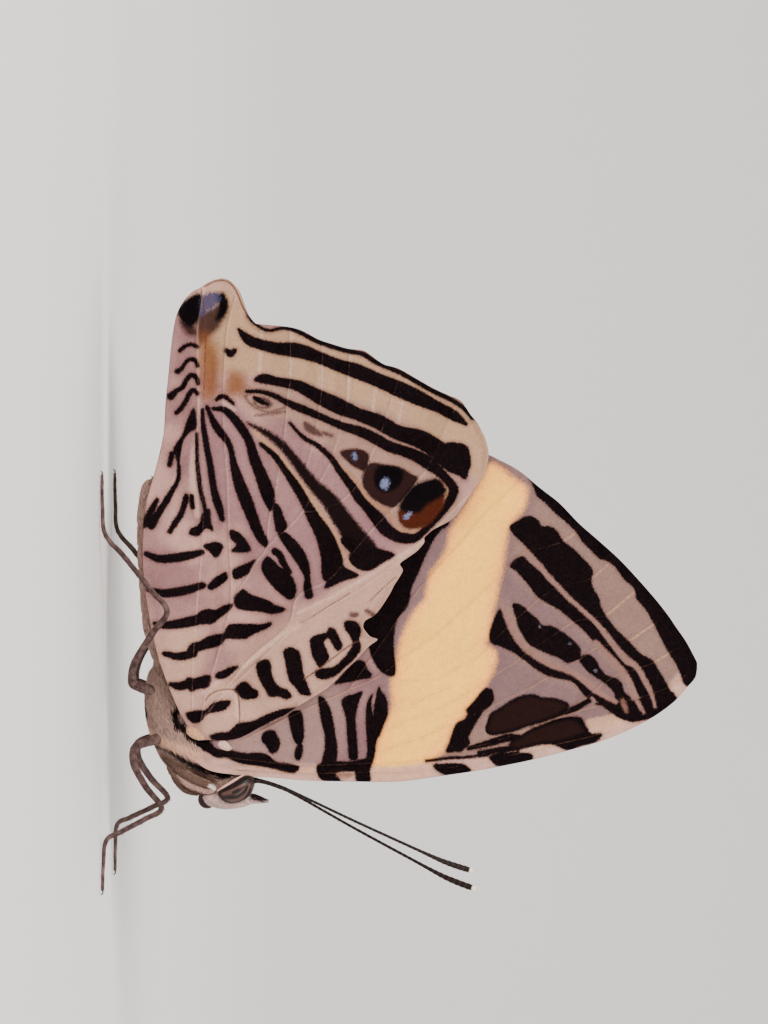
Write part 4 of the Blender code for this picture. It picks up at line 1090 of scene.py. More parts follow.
def mark_fields(flat, patches, strokes):
    """Signed distance of every kind of mark; a kind with patches and strokes takes the lesser one."""
    fields = {name: patch_field(flat, shapes) for name, shapes in patches.items()}
    for name, lines in strokes.items():
        fields[name] = np.minimum(fields.get(name, REACH), stroke_field(flat, lines))
    return fields


hindwing_layers = partial(mark_fields, patches=HIND_PATCHES, strokes=HIND_STROKES)
PINK_EDGE = 1.1


def forewing_layers(flat):
    """The marks of the forewing, and its pink strip: the distance to the front edge less a width."""
    fields = mark_fields(flat, FORE_PATCHES, FORE_STROKES)
    fields["pink"] = nearest(flat, curve_through(on_wing(FORE_FRONT))) - PINK_EDGE
    return fields


wings = {
    "forewing": make_wing_pair("forewing", FORE_FRONT, FORE_BACK, FORE_VEINS, forewing_layers),
    "hindwing": make_wing_pair("hindwing", HIND_FRONT, HIND_BACK, HIND_VEINS, hindwing_layers),
}
for kind, slot_name, paint in (("forewing", "forewing_scales", FORE_PAINT),
                               ("hindwing", "wing_scales", HIND_PAINT)):
    painted = wing_material(slot_name, paint)
    for piece in wings[kind]:
        piece.data.materials.append(painted)
print("wings painted with", len(FORE_PAINT), "and", len(HIND_PAINT), "layers")

# %% [markdown]
# The body is one skin from the tip of the abdomen to the crown. Its path runs forward through the
# abdomen and the thorax and then turns up into the head, because the head is held towards the back.
# Each station of the path names forward, up, half width and half height, and cross sections stand
# square to the path. The skin lies inside the solids by the depth of the coat that comes next.

# %% Body skin
COAT_DEPTH, THINNEST = 0.16, 0.02
TAIL_END, NECK = (-7.15, 3.2, 0.0, 0.0), (12.9, 6.75, 0.85, 1.1)
HEAD_PATH = [(13.55, 7.5, 0.52, 0.62), (13.85, 8.05, 0.56, 0.80), (14.12, 8.6, 0.60, 0.86),
             (14.22, 9.2, 0.60, 0.86), (14.24, 9.7, 0.52, 0.76), (14.25, 10.05, 0.38, 0.52),
             (14.26, 10.2, 0.02, 0.02)]


def body_path():
    """Stations from tail to crown, with the coat's depth taken off the half width and half height."""
    torso = [TAIL_END] + ABDOMEN + THORAX[1:6] + [NECK]
    inner = [(x, z, max(w - COAT_DEPTH, THINNEST), max(h - COAT_DEPTH, THINNEST)) for x, z, w, h in torso]
    return np.array(inner + HEAD_PATH)


RING_END, RING_START, RING_LENGTH, RING_RISE = 5.2, -7.2, 1.55, 0.05
BODY_ROWS, BODY_COLS = 420, 112


def body_skin(u, v):
    """Surface of the body: at share u of the path, an ellipse; rings of the abdomen are soft steps."""
    line = curve_through(body_path(), steps=12)
    runs = np.concatenate([[0], np.cumsum(np.hypot(*np.diff(line[:, :2], axis=0).T))])
    at = u * runs[-1]
    x, z, wide, high = (np.interp(at, runs, line[:, i]) for i in range(4))
    wide, high = np.maximum(wide, 0.01), np.maximum(high, 0.01)
    turn = np.unwrap(np.arctan2(*np.gradient(line[:, :2], axis=0)[:, ::-1].T))
    turn = np.interp(at, runs, np.convolve(np.pad(turn, 8, "edge"), np.ones(17) / 17, "valid"))
    wave = np.abs(np.sin(np.pi * (x - RING_START) / RING_LENGTH)) ** 0.5
    ring = np.where(x < RING_END, RING_RISE * wave, 0.0)
    size = 1 - RING_RISE + ring / np.maximum(high, 0.3)
    across, up = wide * size * np.sin(v), high * size * np.cos(v)
    return np.stack([x - up * np.sin(turn), across, z + up * np.cos(turn)], axis=-1)


def tube_faces(rows, cols):
    """Quads of a closed tube with a round cap of one face at each end; faces point outward."""
    index = grid_index(rows, cols)
    turn = np.roll(index, -1, axis=1)
    caps = [tuple(index[0].tolist()), tuple(index[-1, ::-1].tolist())]
    return quad_faces(index[:-1], index[1:], turn[1:], turn[:-1]) + caps


def make_body():
    """The skin as a closed tube, a row for each step along and a column for each step round."""
    u = np.linspace(0, 1, BODY_ROWS)[:, None]
    v = np.linspace(0, 2 * np.pi, BODY_COLS + 1)[None, :-1]
    points = body_skin(u + 0 * v, v + 0 * u)
    return add_mesh("body_skin", points.reshape(-1, 3), tube_faces(*points.shape[:2]))


BACK_END = 13.4
CROWN_START, CROWN_HALF = 6.9, 0.22
BODY_PEACH = [
    [(150, 736, 8), (168, 745, 9), (180, 750, 10), (200, 756, 12), (218, 763, 13), (236, 769, 12)],
]
BODY_DARK = [
    [(160, 748, 1), (178, 755.7, 3), (192, 762.7, 4.5), (206, 769, 5.5), (216, 772.5, 6), (236, 773.5, 6)],
    [(226, 777, 6), (233, 776, 6)], [(186, 728, 8), (200, 740, 9), (215, 746, 9), (238, 752, 9)],
    [(188, 700, 5), (180, 716, 6), (182, 730, 6)], [(140, 690, 3), (146, 705, 4), (152, 722, 3)],
]
BODY_OLIVE = [
    [(170, 757), (192, 765), (206, 771), (218, 777), (224, 785), (214, 784), (200, 779), (184, 771),
     (170, 764)],
]


def body_layers(points):
    """Side marks of the body by place, and its height above the middle as a share of the half height."""
    flat = points[:, [0, 2]]
    x, z = flat.T
    stations = ABDOMEN[:-1] + THORAX
    high = (z - between(x, stations, 1)) / between(x, stations, 3)
    return {
        "peach": stroke_field(flat, BODY_PEACH), "dark": stroke_field(flat, BODY_DARK),
        "olive": patch_field(flat, BODY_OLIVE), "back": np.where(x < BACK_END, high, -1.0),
        "crown": np.where(z > CROWN_START, np.abs(points[:, 1]) - CROWN_HALF, 1.0),
    }


def store_layers(piece, layers, repeat=1):
    """Store every layer on a piece, each value repeated for the points of one blade."""
    for name, values in layers.items():
        store(piece, name, np.repeat(values, repeat))


def points_of(piece):
    """The points of a piece in millimetres."""
    flat = np.empty(len(piece.data.vertices) * 3)
    piece.data.vertices.foreach_get("co", flat)
    return flat.reshape(-1, 3) / MM


def store_skin(piece, layers):
    """Marks of a skin under a coat, with the middle jitter and the full painted shade of the coat's roots.
    """
    points = points_of(piece)
    store_layers(piece, layers(points))
    store(piece, "jitter", np.full(len(points), 0.5))
    store(piece, "root_shade", np.ones(len(points)))


body = make_body()
store_skin(body, body_layers)
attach(body, "root")
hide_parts("abdomen", "thorax", "head")
print("body", len(body.data.polygons), "faces")

# %% [markdown]
# Legs, feelers, palps and tongue are all the same idea: a circle swept along a smooth path, with a
# radius that changes on the way. The frame of the sweep is built from the path's direction and one
# fixed side, which is enough for paths that never run along that side.

# %% Swept tubes
def sweep(path, radii, rows, cols, side, relief=None):
    """Points of a tube, ring by ring, and the distance of each ring from the start.

    Path and radii run through their points as Catmull-Rom curves. Each ring is the path's place plus
    its radius times cosine and sine along two directions square to the path. Relief swells the radius.
    """
    line = curve_through(np.column_stack([path, radii]), steps=8)
    runs = np.concatenate([[0], np.cumsum(np.linalg.norm(np.diff(line[:, :3], axis=0), axis=1))])
    at = np.linspace(0, runs[-1], rows)
    middle = np.column_stack([np.interp(at, runs, line[:, i]) for i in range(3)])
    radius = np.maximum(np.interp(at, runs, line[:, 3]), 0.004)
    if relief is not None:
        radius = radius * relief(at)
    along = np.gradient(middle, axis=0)
    along /= np.linalg.norm(along, axis=1, keepdims=True)
    first = np.cross(along, np.asarray(side, float))
    first /= np.linalg.norm(first, axis=1, keepdims=True)
    second = np.cross(along, first)
    turn = np.linspace(0, 2 * np.pi, cols + 1)[:-1]
    cosine, sine = np.cos(turn)[None, :, None], np.sin(turn)[None, :, None]
    ring = first[:, None] * cosine + second[:, None] * sine
    return middle[:, None] + radius[:, None, None] * ring, at


def add_tube(name, path, radii, rows, cols, side, relief=None):
    """A closed tube as an object, with the distance along it stored as run (in mm)."""
    points, at = sweep(path, radii, rows, cols, side, relief)
    piece = add_mesh(name, points.reshape(-1, 3), tube_faces(rows, cols))
    store(piece, "run", np.repeat(at, cols))
    return piece


def both_sides(make, name):
    """Make a piece for the left and its mirror image for the right, by giving make the sign of y."""
    pair = []
    for side, sign in SIDES.items():
        piece = make(f"{name}_{side}", sign)
        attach(piece, "root")
        pair.append((piece, side))
    return pair


def mirrored(points, sign):
    """Points with their sideways column multiplied by sign."""
    return np.asarray(points, float) * [1, sign, 1]


def tube_pair(name, path, radii, rows, cols, side, relief=None):
    """The same tube on the left and on the right."""
    def make(label, sign):
        return add_tube(label, mirrored(path, sign), radii, rows, cols, side, relief)
    return both_sides(make, name)


# %% [markdown]
# A butterfly's feeler is a thin ringed shaft that thickens to a club. It could be a curve with a bevel,
# but a sweep with our own radius law gives the club and the fine rings in one mesh.

# %% Feelers
ANTENNA = [
    (13.9, .38, 9.5), (13.66, .48, 10.1), (13.72, .52, 10.8), (14.05, .58, 11.9), (14.62, .75, 13.2),
    (16.7, 2.7, 17.2), (18.75, 4.6, 21.3), (19.4, 5.2, 22.6), (19.85, 5.6, 23.55), (20.23, 5.95, 24.55),
    (20.53, 6.2, 25.45), (20.56, 6.22, 25.55),
]
ANTENNA_RADII = [.12, .19, .115, .105, .10, .10, .11, .14, .185, .21, .195, .10]
ANTENNA_GRID, ANTENNA_SIDE = (420, 20), (0, 1, 0.2)
SHAFT_RING = 0.42


def shaft_rings(at):
    """Swelling of the shaft: a sine of the distance, one wave for each ring."""
    return 1 + 0.05 * np.sin(2 * np.pi * at / SHAFT_RING)


antennae = tube_pair("antenna_shaft", ANTENNA, ANTENNA_RADII, *ANTENNA_GRID, ANTENNA_SIDE, shaft_rings)
ANTENNA_LENGTH = float(sweep(ANTENNA, ANTENNA_RADII, *ANTENNA_GRID, ANTENNA_SIDE)[1][-1])
for piece, side in antennae:
    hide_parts(f"antenna_{side}")
print("feelers", sum(len(piece.data.polygons) for piece, _ in antennae), "faces")

# %% [markdown]
# The walking legs are jointed tubes of thigh, shin and a foot of five small joints. We sweep each one
# from hip to toe, thinner on the way, and let the radius swell along the joints of the foot. The claws
# stay separate pieces, since they are smooth horn and the leg is scaled.

# %% Legs
LEGS = {
    "mid": [(10.6, 1.0, 4.1), (10.75, 1.25, 3.4), (11.2, 1.7, 2.2), (12.3, 2.6, 2.1), (13.8, 3.5, 2.95),
            (15.2, 4.3, 4.05), (15.9, 4.9, 3.0), (16.7, 5.7, 1.4), (17.25, 6.1, .42), (18.7, 6.6, .24),
            (20.6, 6.9, .2)],
    "hind": [(7.4, 1.0, 3.4), (7.1, 1.3, 2.5), (6.7, 1.7, 1.95), (5.3, 2.9, 2.2), (3.2, 4.2, 3.5),
             (1.7, 5.0, 4.5), (.2, 5.6, 3.4), (-2.0, 6.3, 1.7), (-3.55, 6.8, .42), (-5.4, 7.1, .24),
             (-7.6, 7.0, .2)],
}
LEG_GRID, LEG_SIDE = (260, 24), (0.2, 1, 0.1)
LEG_RADII = [.34, .34, .28, .24, .205, .175, .16, .155, .13, .11, .09]
FORELEG = [
    (12.12, .9, 4.44), (12.74, 1.1, 5.07), (13.33, 1.15, 5.90), (13.75, 1.15, 6.81), (14.05, 1.15, 7.46),
    (14.30, 1.2, 7.26), (14.22, 1.25, 6.60), (13.91, 1.25, 5.83), (13.49, 1.2, 5.14), (13.01, 1.1, 4.58),
    (12.6, 1.0, 4.36),
]
FORELEG_RADII = [.22, .28, .29, .27, .17, .17, .19, .19, .18, .16, .08]
HIP = [(12.5, .6, 4.85), (13.35, .6, 4.80), (14.13, .6, 5.42), (14.44, .6, 6.11), (14.50, .55, 6.6)]
HIP_RADII = [.14, .22, .24, .20, .08]
# Of one claw: how far ahead of the toe, how far aside and how far up each point lies, and its radius
CLAW = [
    (-0.06, 0.03, 0.0, .055), (0.10, 0.09, 0.03, .045), (0.24, 0.13, -0.03, .03), (0.29, 0.13, -0.14, .008),
]
CLAW_GRID = (40, 12)


def toe_joints(at):
    """Five short swellings along the last third of a leg, one for each joint of the foot.

    The radius grows by a share of the absolute sine, five half waves along the foot, that eases in.
    """
    share = at / at[-1]
    wave = np.abs(np.sin(5 * np.pi * (share - 0.68) / 0.32)) - 0.4
    return 1 + 0.16 * ease((share - 0.66) / 0.04) * wave


def make_claws(kind, name, sign):
    """Two hooked claws side by side at the toe, each a thin swept cone."""
    toe, before = np.array(LEGS[kind][-1]), np.array(LEGS[kind][-2])
    ahead = (toe - before) * [1, 1, 0] / np.hypot(*(toe - before)[:2])
    across = np.cross(ahead, [0, 0, 1])
    parts = []
    for turn in (-1, 1):
        path = [toe + far * ahead + apart * turn * across + [0, 0, up] for far, apart, up, radius in CLAW]
        radii = [radius for far, apart, up, radius in CLAW]
        parts.append(sweep(mirrored(path, sign), radii, *CLAW_GRID, LEG_SIDE)[0].reshape(-1, 3))
    faces = tube_faces(*CLAW_GRID)
    second = [tuple(i + len(parts[0]) for i in face) for face in faces]
    piece = add_mesh(name, np.vstack(parts), faces + second)
    store(piece, "run", np.zeros(2 * len(parts[0])))
    return piece


leg_skins = []
for kind in LEGS:
    for piece, side in tube_pair(f"{kind}_leg", LEGS[kind], LEG_RADII, *LEG_GRID, LEG_SIDE, toe_joints):
        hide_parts(f"{kind}_femur_{side}", f"{kind}_tibia_{side}", f"{kind}_tarsus_{side}")
        leg_skins.append(piece)
for piece, side in tube_pair("foreleg_skin", FORELEG, FORELEG_RADII, 120, 24, LEG_SIDE):
    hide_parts(f"foreleg_{side}")
    leg_skins.append(piece)
for piece, side in tube_pair("foreleg_hip_skin", HIP, HIP_RADII, 80, 24, LEG_SIDE):
    leg_skins.append(piece)
claws = [piece for kind in LEGS for piece, side in both_sides(partial(make_claws, kind), f"{kind}_claws")]
print(len(leg_skins), "leg skins,", len(claws), "pairs of claws")

# %% [markdown]
# Where the wings hinge, small pads of scales cover the joint: a pale shield over the forewing's root
# and a peach knob over the hindwing's. Each is a flat egg, sunk into the wing to its middle and a bit more.

# %% Pads at the wing roots
# Of each pad: its middle, forward and up, and its half width, half length and thickness
PADS = {"shield": ((11.05, 8.20), (0.30, 0.46, 0.14)), "knob": ((10.25, 6.25), (0.36, 0.62, 0.32))}
PAD_ROWS, PAD_COLS = 41, 48
PAD_LEAN, PAD_SINK = 0.42, 0.05


def make_pad(kind, name, sign):
    """An egg on its side: sines and cosines of two angles, over the wing's face at its middle."""
    (x0, z0), (wide, long, thick) = PADS[kind]
    stand = float(outer_face(np.array([x0]), np.array([z0]), kind == "knob")[0]) - PAD_SINK
    u = (np.linspace(0.01, 0.99, PAD_ROWS) * np.pi)[:, None]
    v = np.linspace(0, 2 * np.pi, PAD_COLS + 1)[None, :-1]
    ahead, up = wide * np.sin(u) * np.cos(v), long * np.cos(u) + 0 * v
    out = stand + thick * np.sin(u) * np.sin(v)
    points = mirrored(np.stack([x0 + ahead + PAD_LEAN * up, out, z0 + up], axis=-1).reshape(-1, 3), sign)
    return add_mesh(name, points, tube_faces(PAD_ROWS, PAD_COLS), flip=sign > 0)


pads = [(kind, piece) for kind in PADS
        for piece, side in both_sides(partial(make_pad, kind), f"wing_{kind}")]
print(len(pads), "pads")

# %% [markdown]
# The head is where the eye of the viewer goes first. The compound eye is not a ball but a shield with
# a straight brow, and the two palps stand up in front of it like a snout. We shape both by bending
# simple closed surfaces, because sculpting would be hard to repeat on the other side.

# %% Palps, tongue and eyes
PALP = [(14.35, .85, 7.2), (14.80, .78, 7.35), (15.15, .60, 8.1), (15.17, .50, 9.2), (14.95, .45, 10.1),
        (15.06, .42, 11.05)]
PALP_RADII = [.25, .42, .36, .28, .26, .06]
PALP_GRID, PALP_SIDE = (160, 40), (0, 1, 0)
EYE_CENTRE, EYE_HALF, EYE_BROW = (14.12, 0.95, 9.10), (0.97, 0.9, 1.29), 0.58
EYE_TILT, EYE_INNER, BROW_POWER = math.radians(29.9), 0.62, 0.55
EYE_ROWS, EYE_COLS = 121, 160
EYE_DARK = [
    [(219, 790, 4), (228, 786, 6), (236, 781, 9), (244, 777, 9), (251, 776, 8)],
    [(236, 790, 2.5), (241, 788, 3.5)],
    [(222, 796, 2), (232, 795.5, 3), (240, 794, 3), (247, 789.5, 3), (250, 784, 2)],
    [(220, 794, 2), (226, 800.5, 3), (234, 802.5, 3), (240, 801.5, 3), (247, 797.5, 3), (251, 792, 2.5),
     (253, 787, 2)],
]
EYE_PALE = [
    [(226, 791.5, 3), (233, 789, 5), (240, 784.5, 4), (247, 782, 3)],
    [(238, 793, 1.5), (244, 790, 2), (248, 786, 2)],
    [(225, 798, 2), (236, 798.5, 3), (244, 796, 3), (250, 789, 3), (252, 783, 3)],
]
EYE_RIM = [(14.30, 1.05, 7.74), (14.01, 1.30, 8.19), (13.74, 1.36, 8.65), (13.46, 1.32, 9.10),
           (13.20, 1.02, 9.58)]
EYE_RIM_RADII = [.05, .09, .10, .09, .05]
palp_skins = tube_pair("palp_skin", PALP, PALP_RADII, *PALP_GRID, PALP_SIDE)
for piece, side in palp_skins:
    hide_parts(f"palp_{side}")


def make_eye(name, sign):
    """A bulge with its poles to the sides.

    Seen from the side it is half an ellipse below the brow line and a much flatter, boxy half above
    it: the height goes with a low power of the sine there.
    """
    steps = np.linspace(0.002, 0.998, EYE_ROWS), np.linspace(0, 2 * np.pi, EYE_COLS + 1)[:-1]
    u, v = np.meshgrid(*steps, indexing="ij")
    reach, across = np.sin(np.pi * u), np.sin(v)
    height = np.where(across > 0, EYE_HALF[0] * across, -EYE_BROW * np.abs(across) ** BROW_POWER)
    ahead, up = reach * height, EYE_HALF[2] * reach * np.cos(v)
    x = EYE_CENTRE[0] + ahead * math.cos(EYE_TILT) - up * math.sin(EYE_TILT)
    y = np.maximum(EYE_CENTRE[1] + EYE_HALF[1] * np.cos(np.pi * u), EYE_INNER)
    z = EYE_CENTRE[2] + up * math.cos(EYE_TILT) + ahead * math.sin(EYE_TILT)
    points = np.stack([x, y, z], axis=-1).reshape(-1, 3)
    return add_mesh(name, mirrored(points, sign), tube_faces(EYE_ROWS, EYE_COLS), flip=sign > 0)


eye_rims = tube_pair("eye_rim", EYE_RIM, EYE_RIM_RADII, 80, 16, PALP_SIDE)


def eye_layers(points):
    """Curved dark and pale stripes of the eye, seen from the side, and how near a point is to its rim."""
    flat = points[:, [0, 2]]
    x, z = flat.T
    rim = np.hypot((x - EYE_CENTRE[0]) / EYE_HALF[0], (z - EYE_CENTRE[2]) / EYE_HALF[2])
    return {"dark": stroke_field(flat, EYE_DARK), "pale": stroke_field(flat, EYE_PALE), "rim": rim}


eyes = both_sides(make_eye, "eye_ball")
for piece, side in eyes:
    store_layers(piece, eye_layers(points_of(piece)))
    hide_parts(f"eye_{side}")


TONGUE_MIDDLE, TONGUE_START = (15.0, 7.05), 2.6


def make_tongue():
    """The tongue: a tube wound into a flat spiral of two and a half turns that narrows evenly."""
    turn = np.linspace(0, 5 * np.pi, 60)
    radius = 0.60 - 0.42 * turn / turn[-1]
    ahead = TONGUE_MIDDLE[0] + radius * np.cos(turn + TONGUE_START)
    up = TONGUE_MIDDLE[1] + radius * np.sin(turn + TONGUE_START)
    thick = 0.13 - 0.06 * turn / turn[-1]
    return add_tube("tongue_coil", np.column_stack([ahead, 0 * turn, up]), thick, 420, 24, PALP_SIDE)


tongue = make_tongue()
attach(tongue, "root")
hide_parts("proboscis")
print("head pieces made")

# %% [markdown]
# The coat is thousands of small blades. Each one is a thin three-sided prism that starts just under the
# skin, follows the lie of the fur and ends in a point, so it is a closed solid of ten triangles. Roots
# are drawn at random with a fixed seed, more where the skin's cells are larger. A blade's colour comes
# from the marks at its root, so skin and coat agree.

# %% Coat builder
BLADE_FACES = [(0, 1, 2), (1, 0, 3, 4), (2, 1, 4, 5), (0, 2, 5, 3), (4, 3, 6), (5, 4, 6), (3, 5, 6)]
# How deep in the coat each point of a blade lies, which sets how much painted shade it takes
BLADE_DEPTHS = [1.0, 1.0, 0.9, 0.35, 0.35, 0.2, 0.0]
BLADE_SPOTS = [(-1, -1), (1, -1), (0, -0.6), (-0.8, 0.2), (0.8, 0.2), (0, 0.4), (0, 1)]
SPOT_SIZE, STRAY, ROOT_DEPTH = 0.0015, 0.16, 0.03


def at_roots(value, root):
    """A length or lift for every root: the value itself, or what its function gives there."""
    return value(root)[:, None] if callable(value) else value


def coat(name, grid, count, length, width, lift, toward, seed, keep=None, layers=None):
    """Blades over a grid with rows along and columns round: three root, three middle and one tip point.

    A blade leaves its root along the lie of the coat and rises square to the skin: the middle points
    stand at 0.55 of its length and 0.85 of its lift, and the tip at all of both.
    """
    rng = np.random.default_rng(seed)
    rows, cols = grid.shape[:2]
    along = np.gradient(grid, axis=0)
    around = (np.roll(grid, -1, axis=1) - np.roll(grid, 1, axis=1)) / 2
    normal = np.cross(around, along)
    middle = grid.mean(axis=1, keepdims=True)
    normal *= np.sign((normal * (grid - middle)).sum(axis=-1, keepdims=True).mean())
    area = np.linalg.norm(normal, axis=-1)
    weight = area * (1.0 if keep is None else keep(grid.reshape(-1, 3)).reshape(rows, cols))
    weight[:3], weight[-3:] = 0, 0
    pick = rng.choice(rows * cols, count, p=(weight / weight.sum()).ravel())
    i, j = np.divmod(pick, cols)
    a, b = rng.uniform(-0.5, 0.5, (2, count, 1))
    root = grid[i, j] + a * along[i, j] + b * around[i, j]
    up = normal[i, j] / area[i, j][:, None]
    lie = toward * along[i, j] / np.linalg.norm(along[i, j], axis=1, keepdims=True)
    side = np.cross(lie, up)
    stray = rng.normal(0, STRAY, (count, 1))
    lie, side = lie * np.cos(stray) + side * np.sin(stray), side * np.cos(stray) - lie * np.sin(stray)
    size = rng.uniform(0.7, 1.25, (count, 1))
    long, wide = at_roots(length, root) * size, 0.5 * width * size
    high = at_roots(lift, root) * rng.uniform(0.5, 1, (count, 1))
    base = root - ROOT_DEPTH * up
    half = root + 0.55 * long * lie + 0.85 * high * up
    tip = root + long * lie + high * up
    shape = np.stack([base - wide * side, base + wide * side, base + wide * up,
                      half - 0.9 * wide * side, half + 0.9 * wide * side,
                      half + 0.6 * wide * up, tip], axis=1)
    start = len(BLADE_DEPTHS) * np.arange(count)[:, None]
    faces = [tuple(face) for part in BLADE_FACES for face in (start + np.array(part)).tolist()]
    piece = add_mesh(name, shape.reshape(-1, 3), faces)
    store(piece, "jitter", np.repeat(rng.uniform(0, 1, count), len(BLADE_DEPTHS)))
    # How much painted shade each point of a blade takes: 1 at the root, 0 at the tip
    store(piece, "root_shade", np.tile(BLADE_DEPTHS, count))
    if layers is not None:
        store_layers(piece, layers(root), len(BLADE_DEPTHS))
    place = np.column_stack([0.01 + 0.98 * (i + 0.5) / rows, 0.01 + 0.98 * (j + 0.5) / cols])
    spots = (place[:, None, :] + SPOT_SIZE * np.array(BLADE_SPOTS)).reshape(-1, 2)
    corner = np.empty(len(piece.data.loops), np.int32)
    piece.data.loops.foreach_get("vertex_index", corner)
    piece.data.uv_layers.new(name="OFBake").data.foreach_set("uv", spots[corner].ravel())
    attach(piece, "root")
    return piece


# %% [markdown]
# Now the coats themselves. Each is one call, because they differ only in numbers: how many blades, how
# long, how wide, how high they stand and which way they lie. Where the wings' roots lie close over the
# body the fur is shorter and flatter, so that no blade comes out through a wing.

# %% Coats of the body
def under_wings(points):
    """1 where the wings' roots lie close over the body, easing to 0 below them."""
    x, z = points[:, 0], points[:, 2]
    high = (z - between(x, TORSO, 1)) / between(x, TORSO, 3)
    return ease((high + 0.35) / 0.5) * (x < 13.2)


def pad_layers(points):
    """A pad is pale all over: no mark reaches it."""
    far = np.ones(len(points))
    return {"peach": -far, "dark": far, "olive": far, "back": -far, "crown": far}


def shorter(full, cut):
    """A size for each root: the full one, less the cut where the wings lie over it."""
    return lambda root: full - cut * under_wings(root)


FAR = 99.0


def region(ahead=(-FAR, FAR), up=(-FAR, FAR)):
    """A test of points: between two places forward and between two heights."""
    return lambda p: (p[:, 0] > ahead[0]) & (p[:, 0] < ahead[1]) & (p[:, 2] > up[0]) & (p[:, 2] < up[1])


pad_coats = []
for n, (kind, piece) in enumerate(pads):
    egg = points_of(piece).reshape(PAD_ROWS, PAD_COLS, 3)
    fur = coat(f"{piece.name}_fur", egg, 1300, 0.22, 0.06, 0.025, -1, 61 + n, layers=pad_layers)
    pad_coats.append(fur)
    store_skin(piece, pad_layers)
skin_grid = points_of(body).reshape(BODY_ROWS, BODY_COLS, 3)
body_coats = [
    coat("thorax_fur", skin_grid, 19500, shorter(0.62, 0.30), 0.045, shorter(0.15, 0.09), -1, 11,
         region(ahead=(5.3, FAR), up=(-FAR, 8.2)), body_layers),
    coat("abdomen_fur", skin_grid, 16000, 0.34, 0.07, shorter(0.10, 0.05), -1, 12,
         region(ahead=(-FAR, 5.9)), body_layers),
    coat("head_fur", skin_grid, 7000, 0.26, 0.04, 0.11, -1, 13,
         region(ahead=(12.5, FAR), up=(7.7, FAR)), body_layers),
]
print("body coat", sum(len(piece.data.polygons) for piece in body_coats), "faces")

# %% [markdown]
# The palps and legs wear flat scales instead of fur, so their blades are short and hardly rise. Stiff
# spines stand between them on the shins and feet.

# %% Coats of the palps and legs
def palp_layers(points):
    """Dark along the palp's upper side and tip, by where a point lies forward and up."""
    x, z = points[:, 0], points[:, 2]
    return {"dark": np.maximum(9.72 - z, x - 14.98 - 0.12 * (z - 9.75))}


def palp_coat(name, sign):
    """Scales of one palp, which lie towards its tip."""
    grid = sweep(mirrored(PALP, sign), PALP_RADII, *PALP_GRID, PALP_SIDE)[0]
    return coat(name, grid, 4200, 0.34, 0.05, 0.07, 1, 21, layers=palp_layers)


palps = both_sides(palp_coat, "palp_scales")


FEMUR = [[(172, 758, 8), (181, 767, 9), (193, 775.5, 9), (206, 781.5, 9), (213, 785, 7)],
         [(170, 765, 7), (178, 777, 8), (186, 787, 8), (196, 791.5, 7), (203, 792, 5)]]
KNEE = [[(212, 784, 4), (219, 787.5, 4)]]


def foreleg_layers(points):
    """Olive on the thigh and hip, almost white at the knee, by distance from their lines."""
    flat = points[:, [0, 2]]
    return {"thigh": stroke_field(flat, FEMUR), "knee": stroke_field(flat, KNEE)}


BEND_AHEAD, BEND_UP, BEND_REACH, BEND_SIDE = 14.2, 7.35, 0.45, 1.6


def leg_length(root):
    """Scales of 0.22 mm, shorter round the sharp bend of the foreleg so that they don't splay out.

    The cut is a bell curve of the distance to the bend, and only the roots near the mid plane take it.
    """
    gap = np.hypot(root[:, 0] - BEND_AHEAD, root[:, 2] - BEND_UP) + 2 * (np.abs(root[:, 1]) > BEND_SIDE)
    return 0.22 - 0.15 * np.exp(-(gap / BEND_REACH) ** 2)


def leg_grid(path, radii, side):
    """The skin of a leg as a grid for its scales."""
    return sweep(mirrored(path, SIDES[side]), radii, *LEG_GRID, LEG_SIDE)[0]


def leg_coat(name, path, radii, side, count, seed, layers=None):
    """Short flat scales along a leg."""
    grid = leg_grid(path, radii, side)
    scales = coat(f"{name}_scales_{side}", grid, count, leg_length, 0.05, 0.02, 1, seed, layers=layers)
    return scales


leg_coats = [leg_coat(f"{kind}_leg", LEGS[kind], LEG_RADII, side, 5200, 31 + n)
             for n, kind in enumerate(LEGS) for side in SIDES]
for name, path, radii, count, seed in (("foreleg", FORELEG, FORELEG_RADII, 2600, 41),
                                       ("foreleg_hip", HIP, HIP_RADII, 900, 43)):
    leg_coats += [leg_coat(name, path, radii, side, count, seed, foreleg_layers) for side in SIDES]
for piece in leg_skins:
    if piece.name.startswith("foreleg"):
        store_skin(piece, foreleg_layers)

SPINE_ROWS, SPINE_LOW = slice(120, 256), 0.45


def spines(name, path, radii, side, count, seed):
    """Stiff spines in the last half of a leg, longer and more upright than the scales."""
    grid = leg_grid(path, radii, side)[SPINE_ROWS]
    above = region(up=(SPINE_LOW, FAR))
    piece = coat(f"{name}_spines_{side}", grid, count, 0.30, 0.035, 0.13, 1, seed, above)
    return piece


leg_spines = [spines(f"{kind}_leg", LEGS[kind], LEG_RADII, side, 90, 51 + n)
              for n, kind in enumerate(LEGS) for side in SIDES]
print(len(leg_coats), "leg coats and", len(leg_spines), "sets of spines")

# %% [markdown]
# Paint for the body, the eyes, the feelers and the legs. It works like the wings' paint: a ground, then
# marks by their stored distance. The roots of the blades, and the skin below them, are darkened with
# painted shade, so that the tips are lighter than the roots and the coat looks deep.

# %% Body materials
GRAIN = 9000.0


